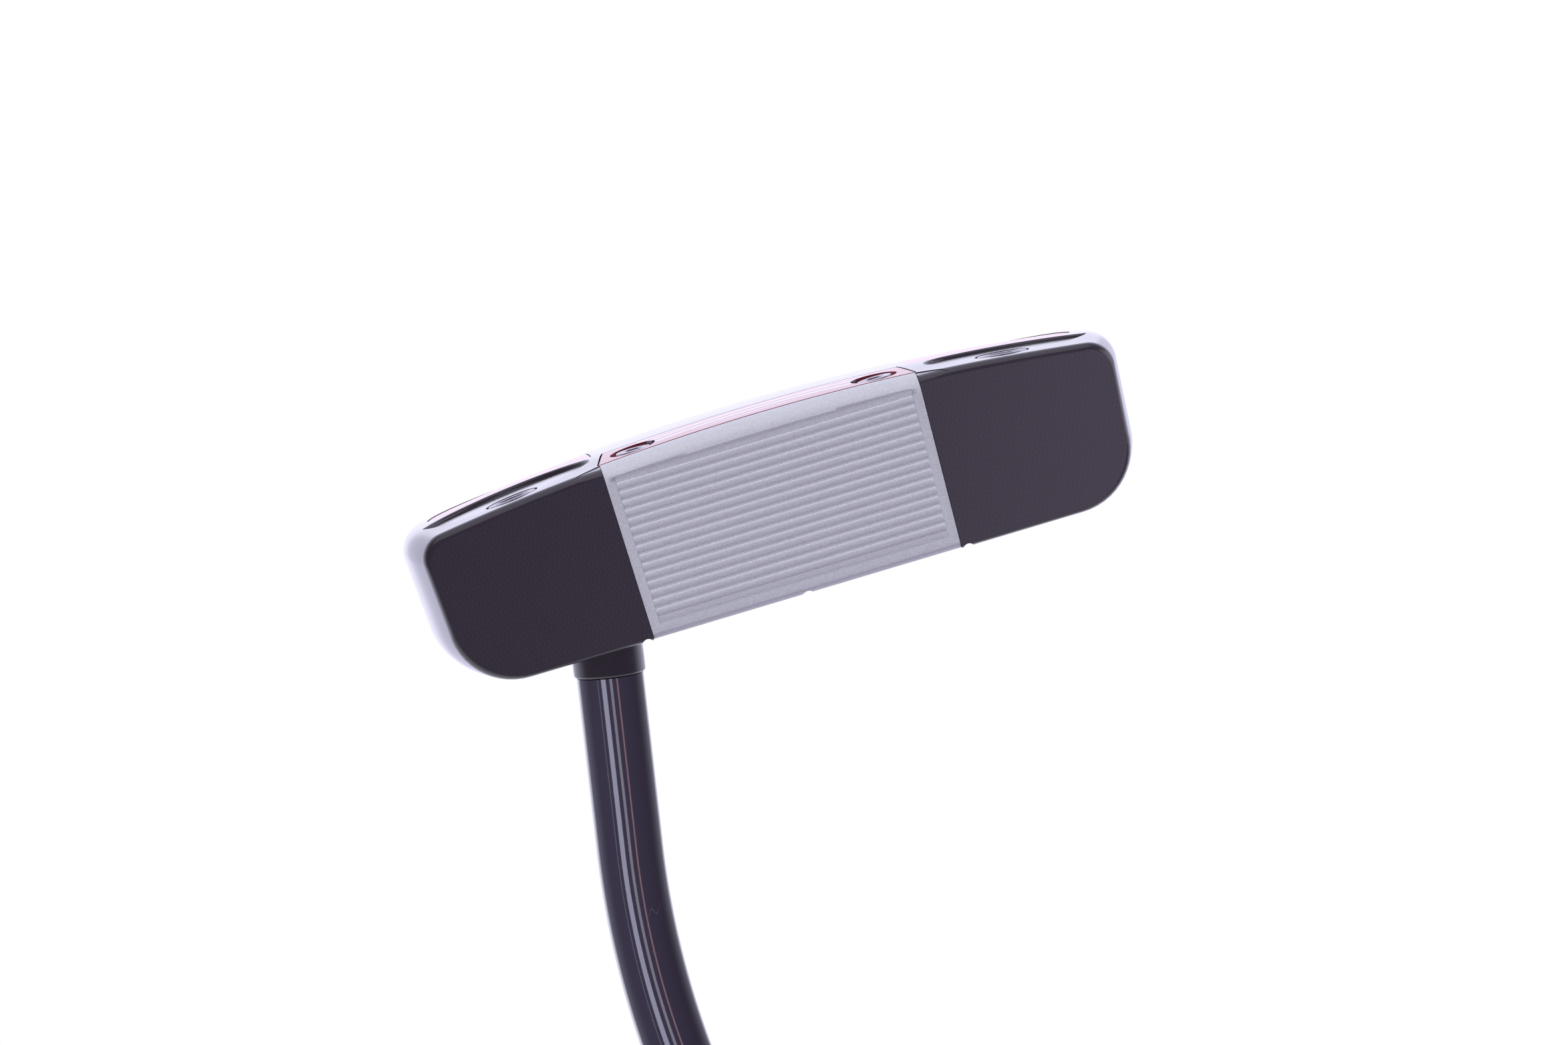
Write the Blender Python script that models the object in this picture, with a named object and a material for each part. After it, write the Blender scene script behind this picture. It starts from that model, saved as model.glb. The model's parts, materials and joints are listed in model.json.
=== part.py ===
"""Mallet putter, standing on its butt with the head on top and the sole up.

Metres, +Z up. The origin is the centre of the grip's butt face. +Z runs up the straight part of the
shaft, +X points to the toe and +Y to the back of the head. The head is modelled in a frame of its own:
x to the toe, y back from the face, z from the crown plane to the sole.
"""

import math

import bmesh
import bpy
from mathutils import Matrix, Vector

# Clearances
GAP = 0.0003
CUT_PAST = 0.004

# The whole club
CLUB_LENGTH = 0.864
LIE = math.radians(70)
LOFT = math.radians(3)
AXIS_FROM_CENTRE = 0.002
AXIS_BEHIND_FACE = 0.0025
AXIS_ABOVE_CROWN = 0.0124

# Head
FRONT_HALF_WIDTH = 0.0502
WIDEST_HALF_WIDTH = 0.0526
WIDEST_DEPTH = 0.025
HEAD_DEPTH = 0.068
FACE_HEIGHT = 0.026
SOLE_CAMBER_RADIUS = 0.330
SOLE_ROCKER_RADIUS = 0.300
SOLE_LEVEL_DEPTH = 0.008
CROWN_LEVEL_DEPTH = 0.028
CROWN_SWEEP = 0.010
SOLE_CORNER_RADIUS = 0.003
CROWN_CORNER_RADIUS = 0.0090
END_LEAN = math.radians(1.7)
FRONT_EDGE_RADIUS = 0.0025
CROWN_EDGE_DROP = 0.0005
SIGHT_LINE_SPACING = 0.0464
SIGHT_LINE_WIDTH = 0.0015
SIGHT_LINE_DEPTH = 0.0005
SIGHT_LINE_LENGTH = 0.046
CENTRE_LINE_START = 0.009
CENTRE_LINE_LENGTH = 0.026

# Face insert, narrower at the crown than at the sole
INSERT_SOLE_HALF_WIDTH = 0.02275
INSERT_CROWN_HALF_WIDTH = 0.0222
INSERT_THICKNESS = 0.003
BOND_THICKNESS = 0.0004
BOND_MARGIN = 0.002
FIELD_SIDE_BORDER = 0.0014
FIELD_CROWN_BORDER = 0.00243
FIELD_SOLE_BORDER = 0.00295
FIELD_DEPTH = 0.0005
FIELD_GROOVES = 16
RIB_WIDTH = 0.0004

# Sole pockets
POCKET_INNER = 0.0238
POCKET_OUTER = 0.0484
POCKET_TIP_DEPTH = 0.0125
POCKET_FRONT_DEPTH = 0.0032
POCKET_REAR_DEPTHS = {"heel": 0.0195, "toe": 0.0150}
POCKET_FLOOR_TILT = math.radians(2.7)
POCKET_FRONT_LIP = 0.001

# Red fields behind the pockets
INLAY_HALF_WIDTH = 0.046
INLAY_CENTRE_DEPTH = 0.014
INLAY_REAR_DEPTH = 0.045
INLAY_LAND = 0.0014
INLAY_THICKNESS = 0.0008
INLAY_SINK = 0.00015

# Sole plate
PLATE_FRONT_HALF_WIDTH = 0.0233
PLATE_REAR_HALF_WIDTH = 0.0220
PLATE_REAR_DEPTH = 0.0138
PLATE_THICKNESS = 0.0036
PLATE_SCREW_SPACING = 0.035
PLATE_SCREW_DEPTH = 0.0078
PLATE_COUNTERBORE = 0.0066
PLATE_SCREW_SINK = 0.0004
PLATE_SCREW_HEAD = 0.0050
PLATE_SCREW_HEAD_HEIGHT = 0.0014
PLATE_SCREW_SHANK = 0.0034
PLATE_SCREW_SOCKET = 0.0025
PLATE_SOCKET_DEPTH = 0.0009
PLATE_BUSH_DIAMETER = 0.0060
PLATE_BUSH_LENGTH = 0.0060

# Sole weights
WEIGHT_SPACING = 0.071
WEIGHT_DEPTH = 0.0062
WEIGHT_DIAMETER = 0.0071
WEIGHT_LENGTH = 0.0090
WEIGHT_PROUD = 0.00025
WEIGHT_EDGE = 0.0003
WEIGHT_COUNTERBORE = 0.0050
WEIGHT_COUNTERBORE_DEPTH = 0.0042
WEIGHT_SCREW_SINK = 0.0007
WEIGHT_SCREW_HEAD = 0.0044
WEIGHT_SCREW_HEAD_HEIGHT = 0.0024
WEIGHT_SCREW_SHANK = 0.0030
WEIGHT_SCREW_SOCKET = 0.0030
WEIGHT_SOCKET_DEPTH = 0.0014
WEIGHT_WASHER_THICKNESS = 0.0005
WEIGHT_BUSH_DIAMETER = 0.0058
WEIGHT_BUSH_LENGTH = 0.0056

# Hosel
HOSEL_FROM_CENTRE = 0.0286
HOSEL_BEHIND_FACE = 0.0095
HOSEL_LEAN = math.radians(9.75)
COLLAR_DIAMETER = 0.0101
COLLAR_LENGTH = 0.0038
COLLAR_EDGE = 0.0005
COLLAR_SEAT_DEPTH = 0.0022
SHANK_DIAMETER = 0.0080
SHANK_LENGTH = 0.0100
POST_LENGTH = 0.0220

# Shaft
TIP_DIAMETER = 0.0094
BUTT_DIAMETER = 0.0150
SHAFT_WALL = 0.0005
FIRST_BEND_FROM_CROWN = 0.0436
FIRST_BEND_RADIUS = 0.104
SECOND_BEND_FROM_AXIS_POINT = 0.103
SECOND_BEND_RADIUS = 0.100
STEP_COUNT = 9
STEP_TOP_HEIGHT = 0.600
STEP_PITCH = 0.036
STEP_LENGTH = 0.002
SHAFT_BUTT_HEIGHT = 0.0065

# Grip
GRIP_LENGTH = 0.267
TAPE_THICKNESS = 0.0004
CAP_THICKNESS = 0.0055
CAP_EDGE = 0.0016
CAP_PLUG_LENGTH = 0.012
GRIP_TIP_EDGE = 0.0012
GRIP_FRONT_FLATNESS = 0.32
# Each profile gives a share of the grip's length, from the butt, and the distance from the shaft's axis
GRIP_HALF_WIDTHS = ((0.0, 0.0136), (0.22, 0.0131), (0.56, 0.0120), (1.0, 0.0104))
GRIP_FRONTS = ((0.0, 0.0112), (0.22, 0.0108), (0.56, 0.0102), (1.0, 0.0096))
GRIP_BACKS = ((0.0, 0.0152), (0.08, 0.0160), (0.32, 0.0128), (0.60, 0.0112), (1.0, 0.0102))

# Facet counts
SIDES = 20
SHAFT_SIDES = 16
GRIP_SIDES = 28
GRIP_RINGS = 14
HEAD_FRONT_RINGS = 5
HEAD_REAR_RINGS = 15
HEAD_TAIL = math.radians(88.5)
SOLE_POINTS = 8
CORNER_POINTS = 7
CROWN_POINTS = 4
EDGE_POINTS = 12
INLAY_STEPS = 9
BEND_STEPS = 8

SIDE_SIGNS = {"heel": -1, "toe": 1}


def finish(name, colour, roughness, metallic):
    material = bpy.data.materials.new(name)
    material.use_nodes = True
    shader = material.node_tree.nodes["Principled BSDF"]
    shader.inputs["Base Color"].default_value = (*colour, 1)
    shader.inputs["Roughness"].default_value = roughness
    shader.inputs["Metallic"].default_value = metallic
    return material


def empty(name, matrix, parent=None):
    frame = bpy.data.objects.new(name, None)
    bpy.context.collection.objects.link(frame)
    frame.parent = parent
    frame.matrix_local = matrix
    return frame


def piece(name, bm, material, parent=None, smooth=math.radians(30)):
    """An object from a bmesh, with its faces turned outwards."""
    bmesh.ops.recalc_face_normals(bm, faces=bm.faces)
    mesh = bpy.data.meshes.new(name)
    bm.to_mesh(mesh)
    bm.free()
    mesh.shade_smooth()
    mesh.set_sharp_from_angle(angle=smooth)
    obj = bpy.data.objects.new(name, mesh)
    bpy.context.collection.objects.link(obj)
    obj.parent = parent
    if material:
        mesh.materials.append(material)
    return obj


def combine(obj, tool, operation):
    """Cuts, joins or keeps the common part of an object with a tool, which is then removed."""
    modifier = obj.modifiers.new(tool.name, "BOOLEAN")
    modifier.operation = operation
    modifier.solver = "EXACT"
    modifier.object = tool
    bpy.context.view_layer.update()
    graph = bpy.context.evaluated_depsgraph_get()
    mesh = bpy.data.meshes.new_from_object(obj.evaluated_get(graph))
    obj.modifiers.remove(modifier)
    obj.data = mesh
    bpy.data.objects.remove(tool)
    return obj


def cut(obj, *tools):
    for tool in tools:
        combine(obj, tool, "DIFFERENCE")
    return obj


def keep(obj, tool):
    return combine(obj, tool, "INTERSECT")


def loft(loops, closed=False):
    """A solid through loops of equally many points. A closed one returns to its first loop."""
    bm = bmesh.new()
    rings = [[bm.verts.new(point) for point in loop] for loop in loops]
    count = len(rings[0])
    following = rings[1:] + rings[:1] if closed else rings[1:]
    for ring, after in zip(rings, following):
        for i in range(count):
            j = (i + 1) % count
            bm.faces.new((ring[i], ring[j], after[j], after[i]))
    if not closed:
        bm.faces.new(reversed(rings[0]))
        bm.faces.new(rings[-1])
    return bm


def circle(radius, z, sides=SIDES):
    angles = [2 * math.pi * i / sides for i in range(sides)]
    return [Vector((radius * math.cos(a), radius * math.sin(a), z)) for a in angles]


def turned(profile, sides=SIDES, ring=False):
    """A solid turned about z from (radius, height) points. A ring's profile closes on itself."""
    return loft([circle(radius, z, sides) for radius, z in profile], closed=ring)


def prism(outline, low, high):
    return loft([[Vector((x, y, z)) for x, y in outline] for z in (low, high)])


def hexagon(across_flats, low, high):
    return loft([circle(across_flats / math.sqrt(3), z, 6) for z in (low, high)])


def eased(stations, at):
    """The value at a place between (place, value) stations, with level ends to each stretch."""
    for (start, first), (end, last) in zip(stations, stations[1:]):
        if at <= end:
            share = max(0.0, (at - start) / (end - start))
            return first + (last - first) * share * share * (3 - 2 * share)
    return stations[-1][1]


# Frames: the upper shaft is the world's Z, and the head leans by the lie
lean = math.pi / 2 - LIE
head_turn = Matrix.Rotation(-lean, 4, "Y")
axis_point = Vector((AXIS_FROM_CENTRE, AXIS_BEHIND_FACE, AXIS_ABOVE_CROWN))
axis_point_height = CLUB_LENGTH - (FACE_HEIGHT - AXIS_ABOVE_CROWN) / math.cos(lean)
head_matrix = Matrix.Translation(Vector((0, 0, axis_point_height)) - head_turn @ axis_point) @ head_turn
hosel_point = Vector((-HOSEL_FROM_CENTRE, HOSEL_BEHIND_FACE, 0))
hosel_matrix = Matrix.Translation(hosel_point) @ Matrix.Rotation(math.pi + HOSEL_LEAN, 4, "Y")


def half_width(y):
    """Half the head's width at a depth behind the face: two half ellipses that meet where it is widest."""
    if y < WIDEST_DEPTH:
        reach = WIDEST_DEPTH / math.sqrt(1 - (FRONT_HALF_WIDTH / WIDEST_HALF_WIDTH) ** 2)
    else:
        reach = HEAD_DEPTH - WIDEST_DEPTH
    return WIDEST_HALF_WIDTH * math.sqrt(max(0.0, 1 - ((y - WIDEST_DEPTH) / reach) ** 2))


def sole_height(x, y):
    rocker = max(0.0, y - SOLE_LEVEL_DEPTH)
    return FACE_HEIGHT - x * x / (2 * SOLE_CAMBER_RADIUS) - rocker * rocker / (2 * SOLE_ROCKER_RADIUS)


def crown_height(y):
    return eased(((CROWN_LEVEL_DEPTH, 0.0), (HEAD_DEPTH, CROWN_SWEEP)), y)


def head_section(y, share):
    """The head's outline at a depth. Share is how much of the front edge's rounding is still to come."""
    inset = FRONT_EDGE_RADIUS * share
    width = half_width(y) - inset
    crown = crown_height(y) + CROWN_EDGE_DROP * share
    edge = sole_height(width, y) - inset
    room = min(edge - crown, width)
    sole_radius = min(SOLE_CORNER_RADIUS, 0.4 * room)
    crown_radius = min(CROWN_CORNER_RADIUS, 0.5 * room)
    slope = math.asin(width / SOLE_CAMBER_RADIUS)
    reach = width - sole_radius * (1 - math.sin(slope))
    half = []
    for i in range(SOLE_POINTS):
        x = reach * i / SOLE_POINTS
        half.append((x, sole_height(x, y) - inset))
    start = Vector((reach, sole_height(reach, y) - inset))
    centre = start - sole_radius * Vector((math.sin(slope), math.cos(slope)))
    for i in range(CORNER_POINTS):
        angle = (math.pi / 2 - slope) * (1 - i / (CORNER_POINTS - 1))
        half.append((centre.x + sole_radius * math.cos(angle), centre.y + sole_radius * math.sin(angle)))
    taper = (edge - crown) * math.tan(END_LEAN)
    corner = Vector((width - taper - crown_radius, crown + crown_radius))
    for i in range(CORNER_POINTS):
        angle = -math.pi / 2 * i / (CORNER_POINTS - 1)
        half.append((corner.x + crown_radius * math.cos(angle), corner.y + crown_radius * math.sin(angle)))
    for i in range(1, CROWN_POINTS + 1):
        half.append((corner.x * (1 - i / CROWN_POINTS), crown))
    outline = half + [(-x, z) for x, z in reversed(half[1:-1])]
    fade = max(0.0, 1 - y / WIDEST_DEPTH)
    return [Vector((x, y + (FACE_HEIGHT - z) * math.tan(LOFT) * fade, z)) for x, z in outline]


def head_blank(name, parent):
    """The head before anything is cut: rounded at the front, elliptical behind."""
    stations = []
    for i in range(HEAD_FRONT_RINGS):
        angle = math.pi / 2 * i / (HEAD_FRONT_RINGS - 1)
        stations.append((FRONT_EDGE_RADIUS * (1 - math.cos(angle)), 1 - math.sin(angle)))
    middle = WIDEST_DEPTH - FRONT_EDGE_RADIUS
    stations += [(FRONT_EDGE_RADIUS + middle * share, 0.0) for share in (0.25, 0.6, 1.0)]
    for i in range(1, HEAD_REAR_RINGS):
        angle = HEAD_TAIL * i / (HEAD_REAR_RINGS - 1)
        stations.append((WIDEST_DEPTH + (HEAD_DEPTH - WIDEST_DEPTH) * math.sin(angle), 0.0))
    return piece(name, loft([head_section(y, share) for y, share in stations]), None, parent)


def arc_points(first, last, bulge):
    """Points from one end to the other on an arc that stands off the chord's middle by the bulge."""
    chord = last - first
    side = Vector((-chord.y, chord.x)).normalized()
    half = chord.length / 2
    radius = (half * half + bulge * bulge) / (2 * abs(bulge))
    sweep = 2 * math.asin(min(1.0, half / radius))
    centre = (first + last) / 2 + side * (bulge - math.copysign(radius, bulge))
    points = []
    for i in range(EDGE_POINTS + 1):
        angle = sweep * (i / EDGE_POINTS - 0.5)
        out = side * math.copysign(radius * math.cos(angle), bulge)
        points.append(centre + out + chord.normalized() * radius * math.sin(angle))
    return points


def pocket_edges(side):
    """The front and rear edges of a sole pocket, each from the inner tip to the outer one."""
    sign = SIDE_SIGNS[side]
    inner = Vector((sign * POCKET_INNER, POCKET_TIP_DEPTH))
    outer = Vector((sign * POCKET_OUTER, POCKET_TIP_DEPTH))
    front = arc_points(inner, outer, sign * (POCKET_FRONT_DEPTH - POCKET_TIP_DEPTH))
    rear = arc_points(inner, outer, sign * (POCKET_REAR_DEPTHS[side] - POCKET_TIP_DEPTH))
    return front, rear


def pocket_cutter(side, parent):
    front, rear = pocket_edges(side)
    outline = front + rear[-2:0:-1]
    cutter = piece("pocket_cutter", prism(outline, 0, FACE_HEIGHT + CUT_PAST), None, parent)
    floor = head_blank("pocket_floor", parent)
    pivot = Matrix.Translation((0, POCKET_FRONT_DEPTH - POCKET_FRONT_LIP, FACE_HEIGHT))
    floor.data.transform(pivot @ Matrix.Rotation(-POCKET_FLOOR_TILT, 4, "X") @ pivot.inverted())
    return cut(cutter, floor)


def inlay_outline(side, margin):
    """The red field between a pocket's rear edge and an ellipse, grown by a margin."""
    sign = SIDE_SIGNS[side]
    across = INLAY_HALF_WIDTH + margin
    along = INLAY_REAR_DEPTH - INLAY_CENTRE_DEPTH + margin
    inner = POCKET_INNER - margin
    rear_edge = pocket_edges(side)[1]
    front = []
    for point in rear_edge:
        depth = point.y + INLAY_LAND - margin
        limit = across * math.sqrt(max(0.0, 1 - ((depth - INLAY_CENTRE_DEPTH) / along) ** 2))
        if abs(point.x) < limit - INLAY_LAND:
            front.append((point.x, depth))
    front[0] = (sign * inner, front[0][1])
    low = math.asin(min(1.0, max(0.0, (front[-1][1] - INLAY_CENTRE_DEPTH) / along)))
    high = math.acos(inner / across)
    rear = []
    for i in range(INLAY_STEPS + 1):
        angle = low + (high - low) * i / INLAY_STEPS
        rear.append((sign * across * math.cos(angle), INLAY_CENTRE_DEPTH + along * math.sin(angle)))
    return front + rear


def inlay_body(name, side, margin, top, bottom, material, parent):
    """A skin under the sole inside the red field's outline, between two depths below the sole."""
    skin = piece(name, prism(inlay_outline(side, margin), 0, FACE_HEIGHT + CUT_PAST), material, parent)
    if top is not None:
        upper = head_blank("inlay_top", parent)
        upper.data.transform(Matrix.Translation((0, 0, -top)))
        keep(skin, upper)
    lower = head_blank("inlay_bottom", parent)
    lower.data.transform(Matrix.Translation((0, 0, -bottom)))
    return cut(skin, lower)


def leaned(x, depth, z):
    """A point at a depth measured square to the leaning face."""
    return Vector((x, depth / math.cos(LOFT) + (FACE_HEIGHT - z) * math.tan(LOFT), z))


def insert_width(z, margin):
    share = z / FACE_HEIGHT
    return INSERT_CROWN_HALF_WIDTH + (INSERT_SOLE_HALF_WIDTH - INSERT_CROWN_HALF_WIDTH) * share + margin


def insert_slab(name, margin, front, back, low, high, material, parent):
    """A slab of the insert's tapered width, parallel to the face, between two depths and two heights."""
    loops = []
    for z in (low, high):
        width = insert_width(z, margin)
        corners = ((-width, front), (width, front), (width, back), (-width, back))
        loops.append([leaned(x, depth, z) for x, depth in corners])
    return piece(name, loft(loops), material, parent)


def make_insert(parent, material):
    insert = insert_slab(
        "face_insert", 0, -CUT_PAST, INSERT_THICKNESS, -CUT_PAST, FACE_HEIGHT + CUT_PAST, material, parent
    )
    keep(insert, head_blank("insert_face", parent))
    field_low = FIELD_CROWN_BORDER
    field_high = FACE_HEIGHT - FIELD_SOLE_BORDER
    pitch = (field_high - field_low + RIB_WIDTH) / FIELD_GROOVES
    for i in range(FIELD_GROOVES):
        low = field_low + pitch * i
        high = low + pitch - RIB_WIDTH
        groove = insert_slab(
            "groove", -FIELD_SIDE_BORDER, -CUT_PAST, FIELD_DEPTH, low, high, None, parent
        )
        cut(insert, groove)
    return insert


def plate_outline(margin):
    front = INSERT_THICKNESS + 2 * GAP - margin
    rear = PLATE_REAR_DEPTH + margin
    return (
        (-PLATE_FRONT_HALF_WIDTH - margin, front),
        (PLATE_FRONT_HALF_WIDTH + margin, front),
        (PLATE_REAR_HALF_WIDTH + margin, rear),
        (-PLATE_REAR_HALF_WIDTH - margin, rear),
    )


PLATE_BOTTOM = sole_height(PLATE_FRONT_HALF_WIDTH, PLATE_REAR_DEPTH) - PLATE_THICKNESS
PLATE_SCREW_TOP = sole_height(PLATE_SCREW_SPACING / 2, PLATE_SCREW_DEPTH) - PLATE_SCREW_SINK
PLATE_SEAT = PLATE_SCREW_TOP - PLATE_SCREW_HEAD_HEIGHT - GAP
PLATE_BUSH_TOP = PLATE_BOTTOM - 2 * GAP
PLATE_BUSH_BOTTOM = PLATE_BUSH_TOP - PLATE_BUSH_LENGTH


def screw(name, head, head_height, shank, length, socket, socket_depth, material, parent):
    """A socket screw along z, with the top of its head at zero and a plain shank."""
    profile = (
        (shank / 2, -head_height - length),
        (shank / 2, -head_height),
        (head / 2, -head_height),
        (head / 2, -GAP),
        (head / 2 - GAP, 0),
    )
    made = piece(name, turned(profile), material, parent)
    return cut(made, piece("socket", hexagon(socket, -socket_depth, CUT_PAST), None, parent))


def ring(name, outer, inner, low, high, material, parent):
    profile = ((outer / 2, low), (outer / 2, high), (inner / 2, high), (inner / 2, low))
    return piece(name, turned(profile, ring=True), material, parent)


def rod(name, profile, parent, sides=SIDES):
    return piece(name, turned(profile, sides), None, parent)


def make_plate(parent, frames, red, steel):
    plate = piece("sole_plate", prism(plate_outline(0), PLATE_BOTTOM, FACE_HEIGHT + CUT_PAST), red, parent)
    keep(plate, head_blank("plate_top", parent))
    hole = PLATE_SCREW_SHANK / 2 + GAP
    for side, frame in frames.items():
        profile = (
            (hole, PLATE_BOTTOM - CUT_PAST),
            (hole, PLATE_SEAT),
            (PLATE_COUNTERBORE / 2, PLATE_SEAT),
            (PLATE_COUNTERBORE / 2, FACE_HEIGHT + CUT_PAST),
        )
        cut(plate, rod("plate_hole", profile, frame))
        seat = empty(f"{side}_plate_screw_seat", Matrix.Translation((0, 0, PLATE_SCREW_TOP)), frame)
        reach = PLATE_SEAT + GAP - PLATE_BUSH_BOTTOM - GAP
        screw(
            f"{side}_plate_screw",
            PLATE_SCREW_HEAD,
            PLATE_SCREW_HEAD_HEIGHT,
            PLATE_SCREW_SHANK,
            reach,
            PLATE_SCREW_SOCKET,
            PLATE_SOCKET_DEPTH,
            steel,
            seat,
        )
        bore = PLATE_SCREW_SHANK + 2 * GAP
        ring(
            f"{side}_plate_bush", PLATE_BUSH_DIAMETER, bore, PLATE_BUSH_BOTTOM, PLATE_BUSH_TOP, steel, frame
        )
    return plate


# Heights along a weight's axis, from the top of the weight
WEIGHT_FLOOR = -WEIGHT_COUNTERBORE_DEPTH
WEIGHT_BUSH_TOP = -WEIGHT_LENGTH - GAP
WEIGHT_BUSH_BOTTOM = WEIGHT_BUSH_TOP - WEIGHT_BUSH_LENGTH
WEIGHT_SCREW_BOTTOM = -WEIGHT_SCREW_SINK - WEIGHT_SCREW_HEAD_HEIGHT


def weight_frame(side, parent):
    """A frame at the top of a weight, with z square to the pocket floor there."""
    x = SIDE_SIGNS[side] * WEIGHT_SPACING / 2
    floor_drop = (WEIGHT_DEPTH - POCKET_FRONT_DEPTH + POCKET_FRONT_LIP) * math.tan(POCKET_FLOOR_TILT)
    foot = Matrix.Translation((x, WEIGHT_DEPTH, sole_height(x, WEIGHT_DEPTH) - floor_drop))
    turn = Matrix.Rotation(math.asin(x / SOLE_CAMBER_RADIUS), 4, "Y")
    tilt = Matrix.Rotation(-POCKET_FLOOR_TILT, 4, "X")
    lift = Matrix.Translation((0, 0, WEIGHT_PROUD))
    return empty(f"{side}_weight_axis", foot @ turn @ tilt @ lift, parent)


def make_weight(side, frame, tungsten, steel):
    hole = WEIGHT_SCREW_SHANK + 2 * GAP
    body = (
        (hole / 2, -WEIGHT_LENGTH),
        (WEIGHT_DIAMETER / 2, -WEIGHT_LENGTH),
        (WEIGHT_DIAMETER / 2, -WEIGHT_EDGE),
        (WEIGHT_DIAMETER / 2 - WEIGHT_EDGE, 0),
        (WEIGHT_COUNTERBORE / 2, 0),
        (WEIGHT_COUNTERBORE / 2, WEIGHT_FLOOR),
        (hole / 2, WEIGHT_FLOOR),
    )
    piece(f"{side}_weight", turned(body, ring=True), tungsten, frame)
    washer_low = WEIGHT_FLOOR + GAP
    washer_high = washer_low + WEIGHT_WASHER_THICKNESS
    ring(f"{side}_weight_washer", WEIGHT_SCREW_HEAD, hole, washer_low, washer_high, steel, frame)
    seat = empty(f"{side}_weight_screw_seat", Matrix.Translation((0, 0, -WEIGHT_SCREW_SINK)), frame)
    reach = WEIGHT_SCREW_BOTTOM - WEIGHT_BUSH_BOTTOM - GAP
    screw(
        f"{side}_weight_screw",
        WEIGHT_SCREW_HEAD,
        WEIGHT_SCREW_HEAD_HEIGHT,
        WEIGHT_SCREW_SHANK,
        reach,
        WEIGHT_SCREW_SOCKET,
        WEIGHT_SOCKET_DEPTH,
        steel,
        seat,
    )
    bush = f"{side}_weight_bush"
    ring(bush, WEIGHT_BUSH_DIAMETER, hole, WEIGHT_BUSH_BOTTOM, WEIGHT_BUSH_TOP, steel, frame)


def weight_cutter(frame):
    profile = (
        (WEIGHT_BUSH_DIAMETER / 2 + GAP, WEIGHT_BUSH_BOTTOM - GAP),
        (WEIGHT_BUSH_DIAMETER / 2 + GAP, WEIGHT_BUSH_TOP),
        (WEIGHT_DIAMETER / 2 + GAP, WEIGHT_BUSH_TOP),
        (WEIGHT_DIAMETER / 2 + GAP, CUT_PAST),
    )
    return rod("weight_bore", profile, frame)


def plate_bush_cutter(frame):
    profile = (
        (PLATE_BUSH_DIAMETER / 2 + GAP, PLATE_BUSH_BOTTOM - GAP),
        (PLATE_BUSH_DIAMETER / 2 + GAP, PLATE_BOTTOM),
    )
    return rod("plate_bush_bore", profile, frame)


def hosel_cutter(frame):
    """The drilled seat for the collar and the shank of the post. The frame's z runs out of the crown."""
    profile = (
        (SHANK_DIAMETER / 2 + GAP, -SHANK_LENGTH - COLLAR_SEAT_DEPTH - 2 * GAP),
        (SHANK_DIAMETER / 2 + GAP, -COLLAR_SEAT_DEPTH - GAP),
        (COLLAR_DIAMETER / 2 + GAP, -COLLAR_SEAT_DEPTH - GAP),
        (COLLAR_DIAMETER / 2 + GAP, CUT_PAST),
    )
    return rod("hosel_bore", profile, frame)


def make_hosel(frame, material):
    post = TIP_DIAMETER / 2 - SHAFT_WALL - GAP
    profile = (
        (SHANK_DIAMETER / 2, -SHANK_LENGTH - COLLAR_SEAT_DEPTH),
        (SHANK_DIAMETER / 2, -COLLAR_SEAT_DEPTH),
        (COLLAR_DIAMETER / 2, -COLLAR_SEAT_DEPTH),
        (COLLAR_DIAMETER / 2, COLLAR_LENGTH - COLLAR_EDGE),
        (COLLAR_DIAMETER / 2 - COLLAR_EDGE, COLLAR_LENGTH),
        (post, COLLAR_LENGTH),
        (post, COLLAR_LENGTH + POST_LENGTH - COLLAR_EDGE),
        (post - COLLAR_EDGE, COLLAR_LENGTH + POST_LENGTH),
    )
    return piece("hosel_post", turned(profile), material, frame)


def sight_line_cutter(x, start, length, parent):
    left = x - SIGHT_LINE_WIDTH / 2
    right = x + SIGHT_LINE_WIDTH / 2
    outline = ((left, start), (right, start), (right, start + length), (left, start + length))
    return piece("sight_line", prism(outline, -CUT_PAST, SIGHT_LINE_DEPTH), None, parent)


def make_body(parent, weight_frames, plate_frames, hosel_frame, material):
    body = head_blank("head_body", parent)
    body.data.materials.append(material)
    slot_back = INSERT_THICKNESS + BOND_THICKNESS + 2 * GAP
    slot = insert_slab(
        "insert_slot", GAP, -CUT_PAST, slot_back, -CUT_PAST, FACE_HEIGHT + CUT_PAST, None, parent
    )
    plate_seat = prism(plate_outline(GAP), PLATE_BOTTOM - GAP, FACE_HEIGHT + CUT_PAST)
    cut(body, slot, piece("plate_seat", plate_seat, None, parent))
    for side, frame in weight_frames.items():
        inlay_bottom = INLAY_SINK + INLAY_THICKNESS + GAP
        recess = inlay_body("inlay_recess", side, GAP, None, inlay_bottom, None, parent)
        cut(body, pocket_cutter(side, parent), recess, weight_cutter(frame))
        cut(body, plate_bush_cutter(plate_frames[side]))
        line = SIDE_SIGNS[side] * SIGHT_LINE_SPACING / 2
        cut(body, sight_line_cutter(line, -CUT_PAST, SIGHT_LINE_LENGTH + CUT_PAST, parent))
    centre_line = sight_line_cutter(0, CENTRE_LINE_START, CENTRE_LINE_LENGTH, parent)
    return cut(body, centre_line, hosel_cutter(hosel_frame))


def make_bond(parent, material):
    front = INSERT_THICKNESS + GAP
    back = front + BOND_THICKNESS
    low = BOND_MARGIN
    high = PLATE_BOTTOM - BOND_MARGIN
    return insert_slab("insert_bond_tape", -BOND_MARGIN, front, back, low, high, material, parent)


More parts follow.
